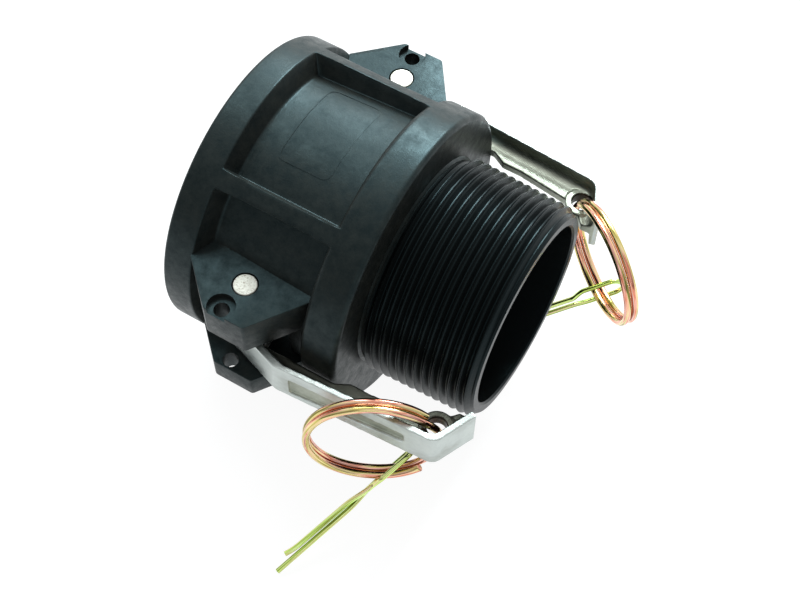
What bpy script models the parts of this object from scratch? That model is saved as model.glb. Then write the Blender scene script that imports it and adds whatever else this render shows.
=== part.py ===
# Cam and groove coupler: a moulded socket with a tapered male pipe thread, two cast cam
# levers on pins through its ears, and a split ring with a cotter-shaped clip on each lever.
#
# The pipe axis runs along +X, from the open socket to the thread, and the coupler lies with
# its two lever pins upright. Sizes are in metres.

import math

import bmesh
import bpy
from mathutils import Matrix, Vector

# Clearance between pieces that touch, and the fineness of round shapes
GAP = 0.0003
TURN_STEPS = 80
TOP_STEPS = 14
SIDE_STEPS = 24
HOLE_STEPS = 32
CORNER_STEPS = 5
FILLET_STEPS = 2
WIRE_STEPS = 2
WELD = 0.00001
OVERCUT = 0.002

# Inside of the socket, with the gasket's groove at its bottom
SOCKET_RADIUS = 0.0320
SOCKET_DEPTH = 0.0360
SOCKET_CHAMFER = 0.0010
GROOVE_DEPTH = 0.00165
GASKET_WIDTH = 0.00795
GASKET_THICKNESS = 0.00635
GASKET_EDGE = 0.0006
GASKET_SLANT = 0.0012
BORE_RADIUS = 0.0245
BORE_CONE = 0.0060
GASKET_RADIUS = SOCKET_RADIUS + GROOVE_DEPTH - GAP
GASKET_BORE_RADIUS = GASKET_RADIUS - GASKET_WIDTH

# Socket flange, pocketed waist and shoulder
SOCKET_WALL = 0.0025
WAIST_LENGTH = 0.0318
WAIST_RISE = 0.0013
FLANGE_HEIGHT = 0.0055
FLANGE_LENGTH = 0.0080
FLANGE_EDGE = 0.0008
FLANGE_DRAFT = 0.0023
SHOULDER_HEIGHT = 0.0055
SHOULDER_LENGTH = 0.0102
SHOULDER_ROUND = 0.0015
RIB_ANGLE = math.radians(31.3)
RIB_WIDTH = math.radians(6.6)
WAIST_RADIUS = SOCKET_RADIUS + SOCKET_WALL
FLANGE_RADIUS = WAIST_RADIUS + FLANGE_HEIGHT
SHOULDER_RADIUS = WAIST_RADIUS + SHOULDER_HEIGHT

# Tapered pipe thread, drawn at its mean radius
THREAD_LENGTH = 0.0302
THREAD_WALL = 0.0037
THREAD_TAPER = 1 / 32
THREAD_CHAMFER = 0.0012
NECK_LENGTH = 0.0015
NECK_DEPTH = 0.0012
THREAD_END_RADIUS = BORE_RADIUS + THREAD_WALL

# Pins, and where they stand
PIVOT_ALONG = 0.0235
PIVOT_OFFSET = 0.0045
PIN_RADIUS = 0.0030
PIN_EDGE = 0.0003
PIVOT_OUT = SOCKET_RADIUS + PIVOT_OFFSET

# Ears that carry the levers, measured from the pin
EAR_TOP = 0.01724
EAR_BOTTOM = -0.0163
SLOT_TOP = 0.0063
SLOT_BOTTOM = -0.0095
EAR_REACH = 0.0105
EAR_FRONT = -0.0050
EAR_BACK = 0.0061
EAR_HEEL = 0.0144
EAR_HEEL_OUT = -0.0015
EAR_ROUND = 0.0010
EAR_ROOT = -0.0125
WINDOW_START = -0.0095
WINDOW_END = 0.0105
CLIP_HOLE_RADIUS = 0.0020
CLIP_SEAT_RADIUS = 0.00355
CLIP_SEAT_DEPTH = 0.0016
CLIP_HOLE_ALONG = -0.0015
CLIP_HOLE_OUT = 0.0080

# Cam levers, measured from the pin
LEVER_BOTTOM = -0.0082
LEVER_TOP = 0.0042
WEB_BOTTOM = -0.0033
WEB_TOP = -0.0006
EYE_RADIUS = 0.0052
LOBE_REACH = 0.0079
LOBE_RADIUS = 0.0047
SKIN = 0.0016
END_WALL = 0.0018
CROWN_ALONG = 0.0129
CROWN_OUT = 0.0097
KNEE_ALONG = 0.0165
TOE_ALONG = 0.0618
TOE_IN = -0.0040
TOE_BLUNT = 0.0006
TOE_LENGTH = 0.0047
TOE_DIP = 0.0009
TIP_BACK = 0.0051
TIP_OUT = 0.0072
TIP_ROUND = 0.0025
HEAD_LENGTH = 0.0065
WEB_CLEAR = 0.0004
WEB_DIP = 0.0020
WEB_RAMP = 0.0040
WEB_LOW = 0.0095
WEB_FILLET = 0.0013
POCKET_ROUND = 0.0018
RING_HOLE_BACK = 0.0077
RING_HOLE_OUT = 0.0013
RING_HOLE_RADIUS = 0.0025
BOSS_RADIUS = 0.0043
BOSS_HEIGHT = 0.00045
RECESS_START = 0.0170
RECESS_BACK = 0.0133
RECESS_DEPTH = 0.0008
RECESS_LOW = -0.0065
RECESS_HIGH = 0.0003
RECESS_TAPER = 0.0030
TIP_ALONG = TOE_ALONG - TIP_BACK
RING_HOLE_ALONG = TOE_ALONG - RING_HOLE_BACK

# Split rings
RING_RADIUS = 0.0164
WIRE_RADIUS = 0.00095
TURN_GAP = 0.0001
RING_STEPS = 42
CROSSING = math.radians(26)

# Cotter-shaped clips of half-round wire
LEG_RADIUS = 0.0013
EYE_WIDTH = 0.0050
EYE_LENGTH = 0.0094
THROAT_LENGTH = 0.0045
LEG_LENGTH = 0.0366
SHORT_BY = 0.0045
LEG_WAVE = 0.0004
LEG_STEPS = 12
LOOP_STEPS = 8
LEG_SIDES = 6

# How each ring hangs in its lever's hole and each clip on its ring. The ring heads away from
# the hole, leans, sags below it and is seated a little off its middle. The clip hangs at an
# angle round the ring, its legs point along a heading and a dip, its eye is rolled about
# them, its tips are spread apart, and the ring's wires lie a little way from its throat
# and aside from the middle of its eye.
HANGS = {
    "far": {
        "heading": math.radians(-37.5),
        "lean": math.radians(4.7),
        "sag": math.radians(22.6),
        "seat": Vector((-0.00035, -0.00044, 0.00080)),
        "clip_at": math.radians(-89.7),
        "legs_heading": math.radians(220.5),
        "legs_dip": math.radians(21.2),
        "eye_roll": math.radians(4.0),
        "spread": 0.0040,
        "from_throat": 0.0034,
        "aside": -0.0008,
    },
    "near": {
        "heading": math.radians(208.3),
        "lean": math.radians(3.8),
        "sag": math.radians(23.0),
        "seat": Vector((-0.00010, -0.00004, 0.00000)),
        "clip_at": math.radians(-104.0),
        "legs_heading": math.radians(246.9),
        "legs_dip": math.radians(21.6),
        "eye_roll": math.radians(-19.0),
        "spread": 0.0003,
        "from_throat": 0.0015,
        "aside": 0.0,
    },
}

MATERIALS = {
    "moulded_black": ((0.022, 0.027, 0.027), 0.42, 0.0),
    "seal_rubber": ((0.012, 0.012, 0.013), 0.6, 0.0),
    "cast_stainless": ((0.62, 0.63, 0.58), 0.35, 1.0),
    "pin_steel": ((0.80, 0.79, 0.76), 0.3, 1.0),
    "yellow_zinc": ((0.75, 0.55, 0.30), 0.25, 1.0),
}


def clear_scene():
    for thing in list(bpy.data.objects):
        bpy.data.objects.remove(thing, do_unlink=True)


def material(name):
    """The named finish, made the first time that it is asked for."""
    if name in bpy.data.materials:
        return bpy.data.materials[name]
    colour, roughness, metallic = MATERIALS[name]
    made = bpy.data.materials.new(name)
    made.use_nodes = True
    shader = made.node_tree.nodes["Principled BSDF"]
    shader.inputs["Base Color"].default_value = (*colour, 1)
    shader.inputs["Roughness"].default_value = roughness
    shader.inputs["Metallic"].default_value = metallic
    made.diffuse_color = (*colour, 1)
    return made


def place(name, data, parent=None, location=(0, 0, 0), finish=None):
    """An object of the coupler, or a cutter or filler where it has no finish."""
    thing = bpy.data.objects.new(name, data)
    thing.location = location
    thing.parent = parent
    if finish:
        PIECES.objects.link(thing)
        data.materials.append(material(finish))
    else:
        HELPERS.objects.link(thing)
        thing.hide_render = True
        thing.display_type = "WIRE"
    return thing


def empty(name, parent, location=(0, 0, 0)):
    thing = bpy.data.objects.new(name, None)
    thing.location = location
    thing.parent = parent
    PIECES.objects.link(thing)
    return thing


def smooth(mesh, angle=35):
    mesh.shade_smooth()
    mesh.set_sharp_from_angle(angle=math.radians(angle))


def tidy(mesh):
    """Welds a mesh made from a curve and turns its faces outwards."""
    work = bmesh.new()
    work.from_mesh(mesh)
    bmesh.ops.remove_doubles(work, verts=work.verts, dist=WELD)
    bmesh.ops.recalc_face_normals(work, faces=work.faces)
    work.to_mesh(mesh)
    work.free()


def rounded(corners):
    """An outline from (x, y, radius) corners, with an arc at each corner that has a radius."""
    outline = []
    count = len(corners)
    for i, (x, y, radius) in enumerate(corners):
        here = Vector((x, y))
        if radius == 0:
            outline.append(here)
            continue
        back = (Vector(corners[i - 1][:2]) - here).normalized()
        ahead = (Vector(corners[(i + 1) % count][:2]) - here).normalized()
        half = back.angle(ahead) / 2
        centre = here + (back + ahead).normalized() * radius / math.sin(half)
        first = here + back * radius / math.tan(half) - centre
        last = here + ahead * radius / math.tan(half) - centre
        sweep = first.angle_signed(last)
        for step in range(CORNER_STEPS + 1):
            turn = Matrix.Rotation(-sweep * step / CORNER_STEPS, 2)
            outline.append(centre + turn @ first)
    return outline


def plate_mesh(name, outline, low, high):
    """A flat outline with a thickness along Z, as a mesh."""
    curve = bpy.data.curves.new(name, "CURVE")
    curve.dimensions = "2D"
    curve.fill_mode = "BOTH"
    curve.extrude = (high - low) / 2
    spline = curve.splines.new("POLY")
    spline.points.add(len(outline) - 1)
    for point, (x, y) in zip(spline.points, outline):
        point.co = (x, y, 0, 1)
    spline.use_cyclic_u = True
    mesh = curve_mesh(name, curve)
    mesh.transform(Matrix.Translation((0, 0, (high + low) / 2)))
    return mesh


def curve_mesh(name, curve):
    holder = bpy.data.objects.new(name + "_curve", curve)
    HELPERS.objects.link(holder)
    bpy.context.view_layer.update()
    graph = bpy.context.evaluated_depsgraph_get()
    mesh = bpy.data.meshes.new_from_object(holder.evaluated_get(graph))
    bpy.data.objects.remove(holder)
    mesh.name = name
    tidy(mesh)
    return mesh


def cylinder_mesh(name, radius, low, high, centre=(0, 0), steps=HOLE_STEPS):
    """A round bar along Z."""
    work = bmesh.new()
    bmesh.ops.create_cone(
        work,
        cap_ends=True,
        segments=steps,
        radius1=radius,
        radius2=radius,
        depth=high - low,
        matrix=Matrix.Translation((centre[0], centre[1], (high + low) / 2)),
    )
    mesh = bpy.data.meshes.new(name)
    work.to_mesh(mesh)
    work.free()
    return mesh


def turned(name, profile, parent, finish=None, ring=False):
    """A shape turned about the pipe axis. Its profile is (along, radius) points, from the
    thread's end to the socket's along the outside, and back along the inside for a ring."""
    lean = math.pi / TURN_STEPS
    work = bmesh.new()
    points = [
        work.verts.new((radius * math.cos(lean), radius * math.sin(lean), along))
        for along, radius in profile
    ]
    for first, second in zip(points, points[1:]):
        work.edges.new((first, second))
    if ring:
        work.edges.new((points[-1], points[0]))
    mesh = bpy.data.meshes.new(name)
    work.to_mesh(mesh)
    work.free()
    thing = place(name, mesh, parent, finish=finish)
    thing.rotation_euler = (0, math.pi / 2, 0)
    screw = thing.modifiers.new("turn", "SCREW")
    screw.axis = "Z"
    screw.steps = TURN_STEPS
    screw.render_steps = TURN_STEPS
    screw.use_smooth_shade = True
    screw.use_merge_vertices = True
    screw.merge_threshold = WELD
    return thing


def sector(name, profile, start, sweep, steps, parent):
    """A block turned about the pipe axis through part of a turn, from straight up."""
    work = bmesh.new()
    points = [work.verts.new((along, 0, radius)) for along, radius in profile]
    face = work.faces.new(points)
    bmesh.ops.rotate(
        work, verts=points, cent=(0, 0, 0), matrix=Matrix.Rotation(-start, 3, "X")
    )
    bmesh.ops.spin(
        work,
        geom=[face, *face.edges, *face.verts],
        cent=(0, 0, 0),
        axis=(1, 0, 0),
        angle=-sweep,
        steps=steps,
        use_merge=False,
        use_duplicate=False,
    )
    bmesh.ops.recalc_face_normals(work, faces=work.faces)
    mesh = bpy.data.meshes.new(name)
    work.to_mesh(mesh)
    work.free()
    return place(name, mesh, parent)


def boolean(thing, other, operation):
    change = thing.modifiers.new(other.name, "BOOLEAN")
    change.operation = operation
    change.solver = "EXACT"
    change.object = other


def waist_start():
    return FLANGE_LENGTH


def waist_end():
    return FLANGE_LENGTH + WAIST_LENGTH


def thread_start():
    return waist_end() + SHOULDER_LENGTH + NECK_LENGTH


def thread_end():
    return thread_start() + THREAD_LENGTH


def thread_radius(along):
    return THREAD_END_RADIUS + (thread_end() - along) * THREAD_TAPER


def body_blank(root):
    """The outside of the moulding, as one turned solid."""
    shoulder_end = waist_end() + SHOULDER_LENGTH
    round_points = []
    for step in range(CORNER_STEPS + 1):
        angle = math.pi / 2 * step / CORNER_STEPS
        round_points.append(
            (
                shoulder_end - SHOULDER_ROUND * (1 - math.cos(angle)),
                SHOULDER_RADIUS - SHOULDER_ROUND * (1 - math.sin(angle)),
            )
        )
    neck = thread_radius(thread_start()) - NECK_DEPTH
    profile = [
        (thread_end(), 0),
        (thread_end(), THREAD_END_RADIUS - THREAD_CHAMFER),
        (thread_end() - THREAD_CHAMFER, thread_radius(thread_end() - THREAD_CHAMFER)),
        (thread_start(), thread_radius(thread_start())),
        (thread_start() - NECK_DEPTH / 2, neck),
        (shoulder_end, neck),
        *round_points,
        (waist_end(), SHOULDER_RADIUS),
        (waist_start(), FLANGE_RADIUS),
        (FLANGE_EDGE, FLANGE_RADIUS),
        (0, FLANGE_RADIUS - FLANGE_EDGE),
        (0, 0),
    ]
    return turned("coupler_body", profile, root, "moulded_black")


def pocket_profile():
    """Section of a waist pocket: a drafted wall at the flange, a floor that rises a little,
    and a square wall with a rounded lip at the shoulder."""
    rise = WAIST_RADIUS + WAIST_RISE
    far_out = max(FLANGE_RADIUS, SHOULDER_RADIUS) + OVERCUT
    lip = []
    for step in range(CORNER_STEPS + 1):
        angle = math.pi / 2 * step / CORNER_STEPS
        lip.append(
            (
                waist_end() + SHOULDER_ROUND * (1 - math.cos(angle)),
                SHOULDER_RADIUS - SHOULDER_ROUND * (1 - math.sin(angle)),
            )
        )
    slope = FLANGE_DRAFT / (FLANGE_RADIUS - WAIST_RADIUS)
    return [
        (waist_start() + FLANGE_DRAFT, WAIST_RADIUS),
        (waist_end(), rise),
        *lip,
        (waist_end() + SHOULDER_ROUND, far_out),
        (waist_start() - slope * (far_out - FLANGE_RADIUS), far_out),
    ]


def cut_pockets(body, root):
    """Four pockets round the waist, with a rib between each two."""
    top_sweep = 2 * RIB_ANGLE
    side_start = RIB_ANGLE + RIB_WIDTH
    side_sweep = math.pi - 2 * side_start
    for name, start, sweep, steps in (
        ("top_pocket", -RIB_ANGLE, top_sweep, TOP_STEPS),
        ("far_pocket", side_start, side_sweep, SIDE_STEPS),
        ("bottom_pocket", math.pi - RIB_ANGLE, top_sweep, TOP_STEPS),
        ("near_pocket", math.pi + side_start, side_sweep, SIDE_STEPS),
    ):
        cutter = sector(name, pocket_profile(), start, sweep, steps, root)
        boolean(body, cutter, "DIFFERENCE")


def ear_outline(side):
    """The ears seen along their pin, from the flange to a slanted heel."""
    out = PIVOT_OUT + EAR_REACH
    heel = PIVOT_ALONG + EAR_HEEL
    slope = (EAR_REACH - EAR_HEEL_OUT) / (EAR_HEEL - EAR_BACK)
    root_along = min(heel + (EAR_HEEL_OUT - EAR_ROOT) / slope, waist_end())
    root_out = PIVOT_OUT + EAR_ROOT
    corners = [
        (waist_start() - GAP, root_out, 0),
        (waist_start() - GAP, FLANGE_RADIUS - (out - FLANGE_RADIUS) / 2, 0),
        (PIVOT_ALONG + EAR_FRONT, out, EAR_ROUND),
        (PIVOT_ALONG + EAR_BACK, out, EAR_ROUND),
        (heel, PIVOT_OUT + EAR_HEEL_OUT, 0),
        (root_along, root_out, 0),
    ]
    return rounded([(along, side * across, radius) for along, across, radius in corners])


def add_ears(body, root, side, word):
    for level, low, high in (
        ("upper", SLOT_TOP, EAR_TOP),
        ("lower", EAR_BOTTOM, SLOT_BOTTOM),
    ):
        name = f"{word}_{level}_ear"
        mesh = plate_mesh(name, ear_outline(side), low, high)
        boolean(body, place(name, mesh, root), "UNION")


def bore_body(body, root):
    """The socket, the gasket's groove and the way through, as one turned cutter."""
    groove = SOCKET_RADIUS + GROOVE_DEPTH
    seat = SOCKET_DEPTH + GASKET_THICKNESS + 2 * GAP
    profile = [
        (thread_end() + OVERCUT, 0),
        (thread_end() + OVERCUT, BORE_RADIUS),
        (seat + BORE_CONE, BORE_RADIUS),
        (seat, GASKET_BORE_RADIUS),
        (seat, groove),
        (SOCKET_DEPTH, groove),
        (SOCKET_DEPTH, SOCKET_RADIUS),
        (SOCKET_CHAMFER, SOCKET_RADIUS),
        (-OVERCUT, SOCKET_RADIUS + SOCKET_CHAMFER + OVERCUT),
        (-OVERCUT, 0),
    ]
    boolean(body, turned("bore_cutter", profile, root), "DIFFERENCE")


def cut_lever_room(body, root, side, word):
    """The window that lets the cam into the socket, the pin's hole and the clip's hole."""
    start, end = PIVOT_ALONG + WINDOW_START, PIVOT_ALONG + WINDOW_END
    inside = PIVOT_OUT + EAR_ROOT
    window = [
        (start, side * inside),
        (end, side * inside),
        (end, side * PIVOT_OUT),
        (start, side * PIVOT_OUT),
    ]
    mesh = plate_mesh(f"{word}_window", [Vector(p) for p in window], SLOT_BOTTOM, SLOT_TOP)
    boolean(body, place(f"{word}_window", mesh, root), "DIFFERENCE")
    pivot = (PIVOT_ALONG, side * PIVOT_OUT)
    hole = (PIVOT_ALONG + CLIP_HOLE_ALONG, side * (PIVOT_OUT + CLIP_HOLE_OUT))
    top = EAR_TOP + OVERCUT
    low = EAR_BOTTOM - OVERCUT
    for name, radius, bottom, centre in (
        (f"{word}_pin_hole", PIN_RADIUS + GAP, low, pivot),
        (f"{word}_clip_hole", CLIP_HOLE_RADIUS, low, hole),
        (f"{word}_clip_seat", CLIP_SEAT_RADIUS, EAR_TOP - CLIP_SEAT_DEPTH, hole),
    ):
        mesh = cylinder_mesh(name, radius, bottom, top, centre)
        boolean(body, place(name, mesh, root), "DIFFERENCE")


def make_body(root):
    body = body_blank(root)
    cut_pockets(body, root)
    for side, word in SIDES:
        add_ears(body, root, side, word)
    bore_body(body, root)
    for side, word in SIDES:
        cut_lever_room(body, root, side, word)
    return body


def make_gasket(root):
    """A flat ring, its front rim slanted so that it slips past the socket's wall."""
    front = SOCKET_DEPTH + GAP
    back = front + GASKET_THICKNESS
    profile = [
        (back, GASKET_BORE_RADIUS + GASKET_EDGE),
        (back, GASKET_RADIUS - GASKET_EDGE),
        (back - GASKET_EDGE, GASKET_RADIUS),
        (front + GASKET_SLANT, GASKET_RADIUS),
        (front, SOCKET_RADIUS - GAP),
        (front, GASKET_BORE_RADIUS + GASKET_EDGE),
        (front + GASKET_EDGE, GASKET_BORE_RADIUS),
        (back - GASKET_EDGE, GASKET_BORE_RADIUS),
    ]
    return turned("gasket", profile, root, "seal_rubber", ring=True)


def make_pin(root, side, word):
    """A plain pin, flush with both ears, its ends lightly chamfered."""
    work = bmesh.new()
    bmesh.ops.create_cone(
        work,
        cap_ends=True,
        segments=HOLE_STEPS,
        radius1=PIN_RADIUS,
        radius2=PIN_RADIUS,
        depth=EAR_TOP - EAR_BOTTOM,
        matrix=Matrix.Translation((0, 0, (EAR_TOP + EAR_BOTTOM) / 2)),
    )
    rims = [edge for edge in work.edges if abs(edge.verts[0].co.z - edge.verts[1].co.z) < WELD]
    bmesh.ops.bevel(
        work, geom=rims, offset=PIN_EDGE, segments=1, profile=0.5, affect="EDGES", material=-1
    )
    name = f"{word}_pivot_pin"
    mesh = bpy.data.meshes.new(name)
    work.to_mesh(mesh)
    work.free()
    smooth(mesh)
    return place(name, mesh, root, (PIVOT_ALONG, side * PIVOT_OUT, 0), "pin_steel")


def arc(centre, radius, start, end, steps):
    """Points on an arc, with its angles in degrees."""
    points = []
    for step in range(steps + 1):
        angle = math.radians(start + (end - start) * step / steps)
        points.append(centre + Vector((math.cos(angle), math.sin(angle))) * radius)
    return points


def lever_line():
    """The lever's outer face as a height over its length, from the knee to the tip."""
    slope = (TIP_OUT - CROWN_OUT) / (TIP_ALONG - KNEE_ALONG)
    return lambda along: CROWN_OUT + slope * (along - KNEE_ALONG)


def lever_outline(side):
    """The lever seen along its pin: eye and cam lobe, neck, web and toe."""
    eye = Vector((0, 0))
    lobe = Vector((0, -(LOBE_REACH - LOBE_RADIUS)))
    over_shoulder = SHOULDER_RADIUS + WEB_CLEAR - PIVOT_OUT
    shoulder_from = waist_end() - PIVOT_ALONG
    shoulder_to = shoulder_from + SHOULDER_LENGTH
    hole = Vector((RING_HOLE_ALONG, RING_HOLE_OUT))
    outline = [
        *arc(eye, EYE_RADIUS, 180, 95, 8),
        Vector((CROWN_ALONG, CROWN_OUT)),
        Vector((KNEE_ALONG, CROWN_OUT)),
    ]
    tip = rounded(
        [
            (KNEE_ALONG, CROWN_OUT, 0),
            (TIP_ALONG, TIP_OUT, TIP_ROUND),
            (TOE_ALONG, TOE_IN, 0),
        ]
    )
    outline += tip[1:]
    outline += [
        Vector((TOE_ALONG - END_WALL, TOE_IN - TOE_BLUNT)),
        Vector((TOE_ALONG - TOE_LENGTH, TOE_IN - TOE_DIP)),
        *arc(hole, BOSS_RADIUS, -75, -165, 3),
        Vector((shoulder_to + WEB_LOW, over_shoulder - WEB_DIP)),
        Vector((shoulder_to + WEB_RAMP, over_shoulder - WEB_DIP)),
        Vector((shoulder_to + GAP, over_shoulder)),
        Vector((shoulder_from - WEB_RAMP, over_shoulder)),
        Vector((HEAD_LENGTH + GAP, over_shoulder + GAP)),
        *arc(eye, EYE_RADIUS, 38, 0, 4),
        *arc(lobe, LOBE_RADIUS, 0, -180, 14),
    ]
    return [Vector((point.x, side * point.y)) for point in outline]


def lever_pocket(side):
    """The hollow beside the web: inside the skin, the head and the end wall."""
    line = lever_line()
    toe_slope = (TOE_ALONG - TIP_ALONG) / (TIP_OUT - TOE_IN)
    inner_out = line(TIP_ALONG) - SKIN
    inner_tip = TIP_ALONG + toe_slope * (TIP_OUT - inner_out)
    inner_tip -= END_WALL * math.hypot(1, toe_slope)
    low = -(LOBE_REACH + OVERCUT)
    corners = [
        (HEAD_LENGTH, low, 0),
        (HEAD_LENGTH, CROWN_OUT * HEAD_LENGTH / CROWN_ALONG + SKIN / 2, POCKET_ROUND),
        (KNEE_ALONG - SKIN, CROWN_OUT - SKIN, POCKET_ROUND),
        (inner_tip, inner_out, POCKET_ROUND),
        (inner_tip + toe_slope * (inner_out - low), low, 0),
    ]
    return rounded([(along, side * out, radius) for along, out, radius in corners])


def hollow_mesh(side, web, outside):
    """A hollow's cutter, rounded where it meets the web so that the web swells to the skin."""
    low, high = min(web, outside), max(web, outside)
    mesh = plate_mesh("hollow", lever_pocket(side), low, high)
    work = bmesh.new()
    work.from_mesh(mesh)
    floor = [face for face in work.faces if all(abs(v.co.z - web) < WELD for v in face.verts)]
    floor = bmesh.ops.dissolve_faces(work, faces=floor, use_verts=False)["region"]
    bmesh.ops.bevel(
        work,
        geom=list(floor[0].edges),
        offset=WEB_FILLET,
        segments=FILLET_STEPS,
        profile=0.5,
        affect="EDGES",
        material=-1,
    )
    work.to_mesh(mesh)
    work.free()
    return mesh


def lever_recess(side):
    """A shallow panel sunk in the outer face, narrower towards the tip."""
    end = TOE_ALONG - RECESS_BACK
    length = end - RECESS_START
    outline = rounded(
        [
            (0, RECESS_LOW, SKIN / 2),
            (length, RECESS_LOW + RECESS_TAPER, SKIN / 2),
            (length, RECESS_HIGH, SKIN / 2),
            (0, RECESS_HIGH, SKIN / 2),
        ]
    )
    mesh = plate_mesh("recess", outline, -RECESS_DEPTH, OVERCUT)
    line = lever_line()
    slope = math.atan2(line(end) - line(RECESS_START), length)
    mesh.transform(Matrix.Rotation(math.pi / 2, 4, "X"))
    mesh.transform(Matrix.Scale(-1, 4, (0, 1, 0)))
    mesh.transform(Matrix.Rotation(slope, 4, "Z"))
    mesh.transform(Matrix.Translation((RECESS_START, line(RECESS_START), 0)))
    if side < 0:
        mesh.transform(Matrix.Scale(-1, 4, (0, 1, 0)))
    tidy(mesh)
    return mesh


def make_lever(root, side, word):
    name = f"{word}_cam_arm"
    pivot = empty(f"{word}_pivot", root, (PIVOT_ALONG, side * PIVOT_OUT, 0))
    lever = place(
        name,
        plate_mesh(name, lever_outline(side), LEVER_BOTTOM, LEVER_TOP),
        pivot,
        finish="cast_stainless",
    )
    hole = (RING_HOLE_ALONG, side * RING_HOLE_OUT)
    low, high = LEVER_BOTTOM - OVERCUT, LEVER_TOP + OVERCUT
    for part, mesh, operation in (
        ("upper_hollow", hollow_mesh(side, WEB_TOP, high), "DIFFERENCE"),
        ("lower_hollow", hollow_mesh(side, WEB_BOTTOM, low), "DIFFERENCE"),
        (
            "boss",
            cylinder_mesh(
                "boss", BOSS_RADIUS, WEB_BOTTOM - BOSS_HEIGHT, WEB_TOP + BOSS_HEIGHT, hole
            ),
            "UNION",
        ),
        ("recess", lever_recess(side), "DIFFERENCE"),
        ("ring_hole", cylinder_mesh("hole", RING_HOLE_RADIUS, low, high, hole), "DIFFERENCE"),
        ("pin_hole", cylinder_mesh("hole", PIN_RADIUS + GAP, low, high), "DIFFERENCE"),
    ):
        boolean(lever, place(f"{word}_{part}", mesh, pivot), operation)
    return pivot


def web_middle():
    return (WEB_TOP + WEB_BOTTOM) / 2


def ring_seat(side, hang):
    """Where the ring passes through its lever's hole, measured from the lever's pin."""
    return Vector((RING_HOLE_ALONG, side * RING_HOLE_OUT, web_middle())) + hang["seat"]


def ring_centre(hang):
    """The ring's centre, measured from its seat, in the ring's own plane."""
    return Vector((math.cos(hang["sag"]), -math.sin(hang["sag"]), 0)) * RING_RADIUS


def ring_frame(hang):
    """Turns the ring's own plane, X along its heading and Y up, into the leaning one."""
    upright = Matrix.Rotation(math.pi / 2 + hang["lean"], 4, "X")
    return Matrix.Rotation(hang["heading"], 4, "Z") @ upright


def make_ring(pivot, side, word, hang):
    """Two turns of round wire side by side. They cross over in the lever's hole, where only
    one wire passes, and the loose ends stop above and below it."""
    name = f"{word}_pull_ring"
    curve = bpy.data.curves.new(name, "CURVE")
    curve.dimensions = "3D"
    curve.bevel_depth = WIRE_RADIUS
    curve.bevel_resolution = WIRE_STEPS
    curve.use_fill_caps = True
    spline = curve.splines.new("POLY")
    pitch = 2 * WIRE_RADIUS + TURN_GAP
    centre = ring_centre(hang)
    at_hole = math.atan2(-centre.y, -centre.x)
    count = 2 * RING_STEPS
    spline.points.add(count)
    for step in range(count + 1):
        turn = CROSSING + (4 * math.pi - 2 * CROSSING) * step / count
        across = (turn - 2 * math.pi) / CROSSING
        side_step = max(-1.0, min(1.0, across))
        angle = at_hole + turn
        spline.points[step].co = (
            centre.x + RING_RADIUS * math.cos(angle),
            centre.y + RING_RADIUS * math.sin(angle),
            pitch / 2 * math.sin(side_step * math.pi / 2),
            1,
        )
    mesh = curve_mesh(name, curve)
    smooth(mesh, 60)
    ring = place(name, mesh, pivot, ring_seat(side, hang), "yellow_zinc")
    ring.rotation_euler = ring_frame(hang).to_euler()
    return ring


def clip_frame(side, hang):
    """Where a clip's eye holds the ring, measured from the lever's pin, and the clip's
    axes: X towards its tips, Y across its eye and Z through it."""
    turn = ring_frame(hang)
    around = hang["clip_at"]
    outward = Vector((math.cos(around), math.sin(around), 0))
    forward = Vector((-math.sin(around), math.cos(around), 0))
    seat = ring_seat(side, hang) + turn @ (ring_centre(hang) + outward * RING_RADIUS)
    strand = turn.to_3x3() @ forward
    level = math.cos(hang["legs_dip"])
    legs = Vector(
        (
            level * math.cos(hang["legs_heading"]),
            level * math.sin(hang["legs_heading"]),
            -math.sin(hang["legs_dip"]),
        )
    )
    normal = (strand - legs * strand.dot(legs)).normalized()
    normal.rotate(Matrix.Rotation(hang["eye_roll"], 3, legs))
    across = normal.cross(legs)
    seat += across * hang["aside"]
    return seat, Matrix((legs, across, normal)).transposed().to_4x4()


def leg_points(length, hang, half):
    """One leg's inner side, from its tip to the throat, as (along, out) points."""
    points = []
    for step in range(LEG_STEPS + 1):
        share = step / LEG_STEPS
        along = length + (THROAT_LENGTH - length) * share
        wave = LEG_WAVE * math.sin(share * 2 * math.pi) * (1 - share)
        out = half + (hang["spread"] / 2 - half) * (1 - share)
        points.append((hang["from_throat"] + along, out, wave))
    return points


def eye_half(hang, half):
    """Half of the eye's inner side, from the throat to the end of the loop."""
    bend = EYE_WIDTH / 2
    throat = hang["from_throat"]
    loop_centre = throat - EYE_LENGTH + bend
    points = []
    for step in range(1, LOOP_STEPS + 1):
        share = step / LOOP_STEPS
        swell = (1 - math.cos(share * math.pi)) / 2
        points.append((throat + THROAT_LENGTH * (1 - share), half + (bend - half) * swell))
    points.append(((throat + loop_centre) / 2, bend))
    for step in range(LOOP_STEPS + 1):
        angle = math.pi / 2 * (1 + step / LOOP_STEPS)
        points.append((loop_centre + bend * math.cos(angle), bend * math.sin(angle)))
    return points


def clip_path(hang):
    """The clip's flat inner side: in along one leg, round the eye and out along the other."""
    half = GAP / 4
    first = [Vector((x, -(out + wave), 0)) for x, out, wave in leg_points(LEG_LENGTH, hang, half)]
    short = LEG_LENGTH - SHORT_BY
    second = [Vector((x, out - wave, 0)) for x, out, wave in leg_points(short, hang, half)]
    eye = eye_half(hang, half)
    near_side = [Vector((x, -out, 0)) for x, out in eye]
    far_side = [Vector((x, out, 0)) for x, out in eye[:-1]]
    return first + near_side + far_side[::-1] + second[::-1]


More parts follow.
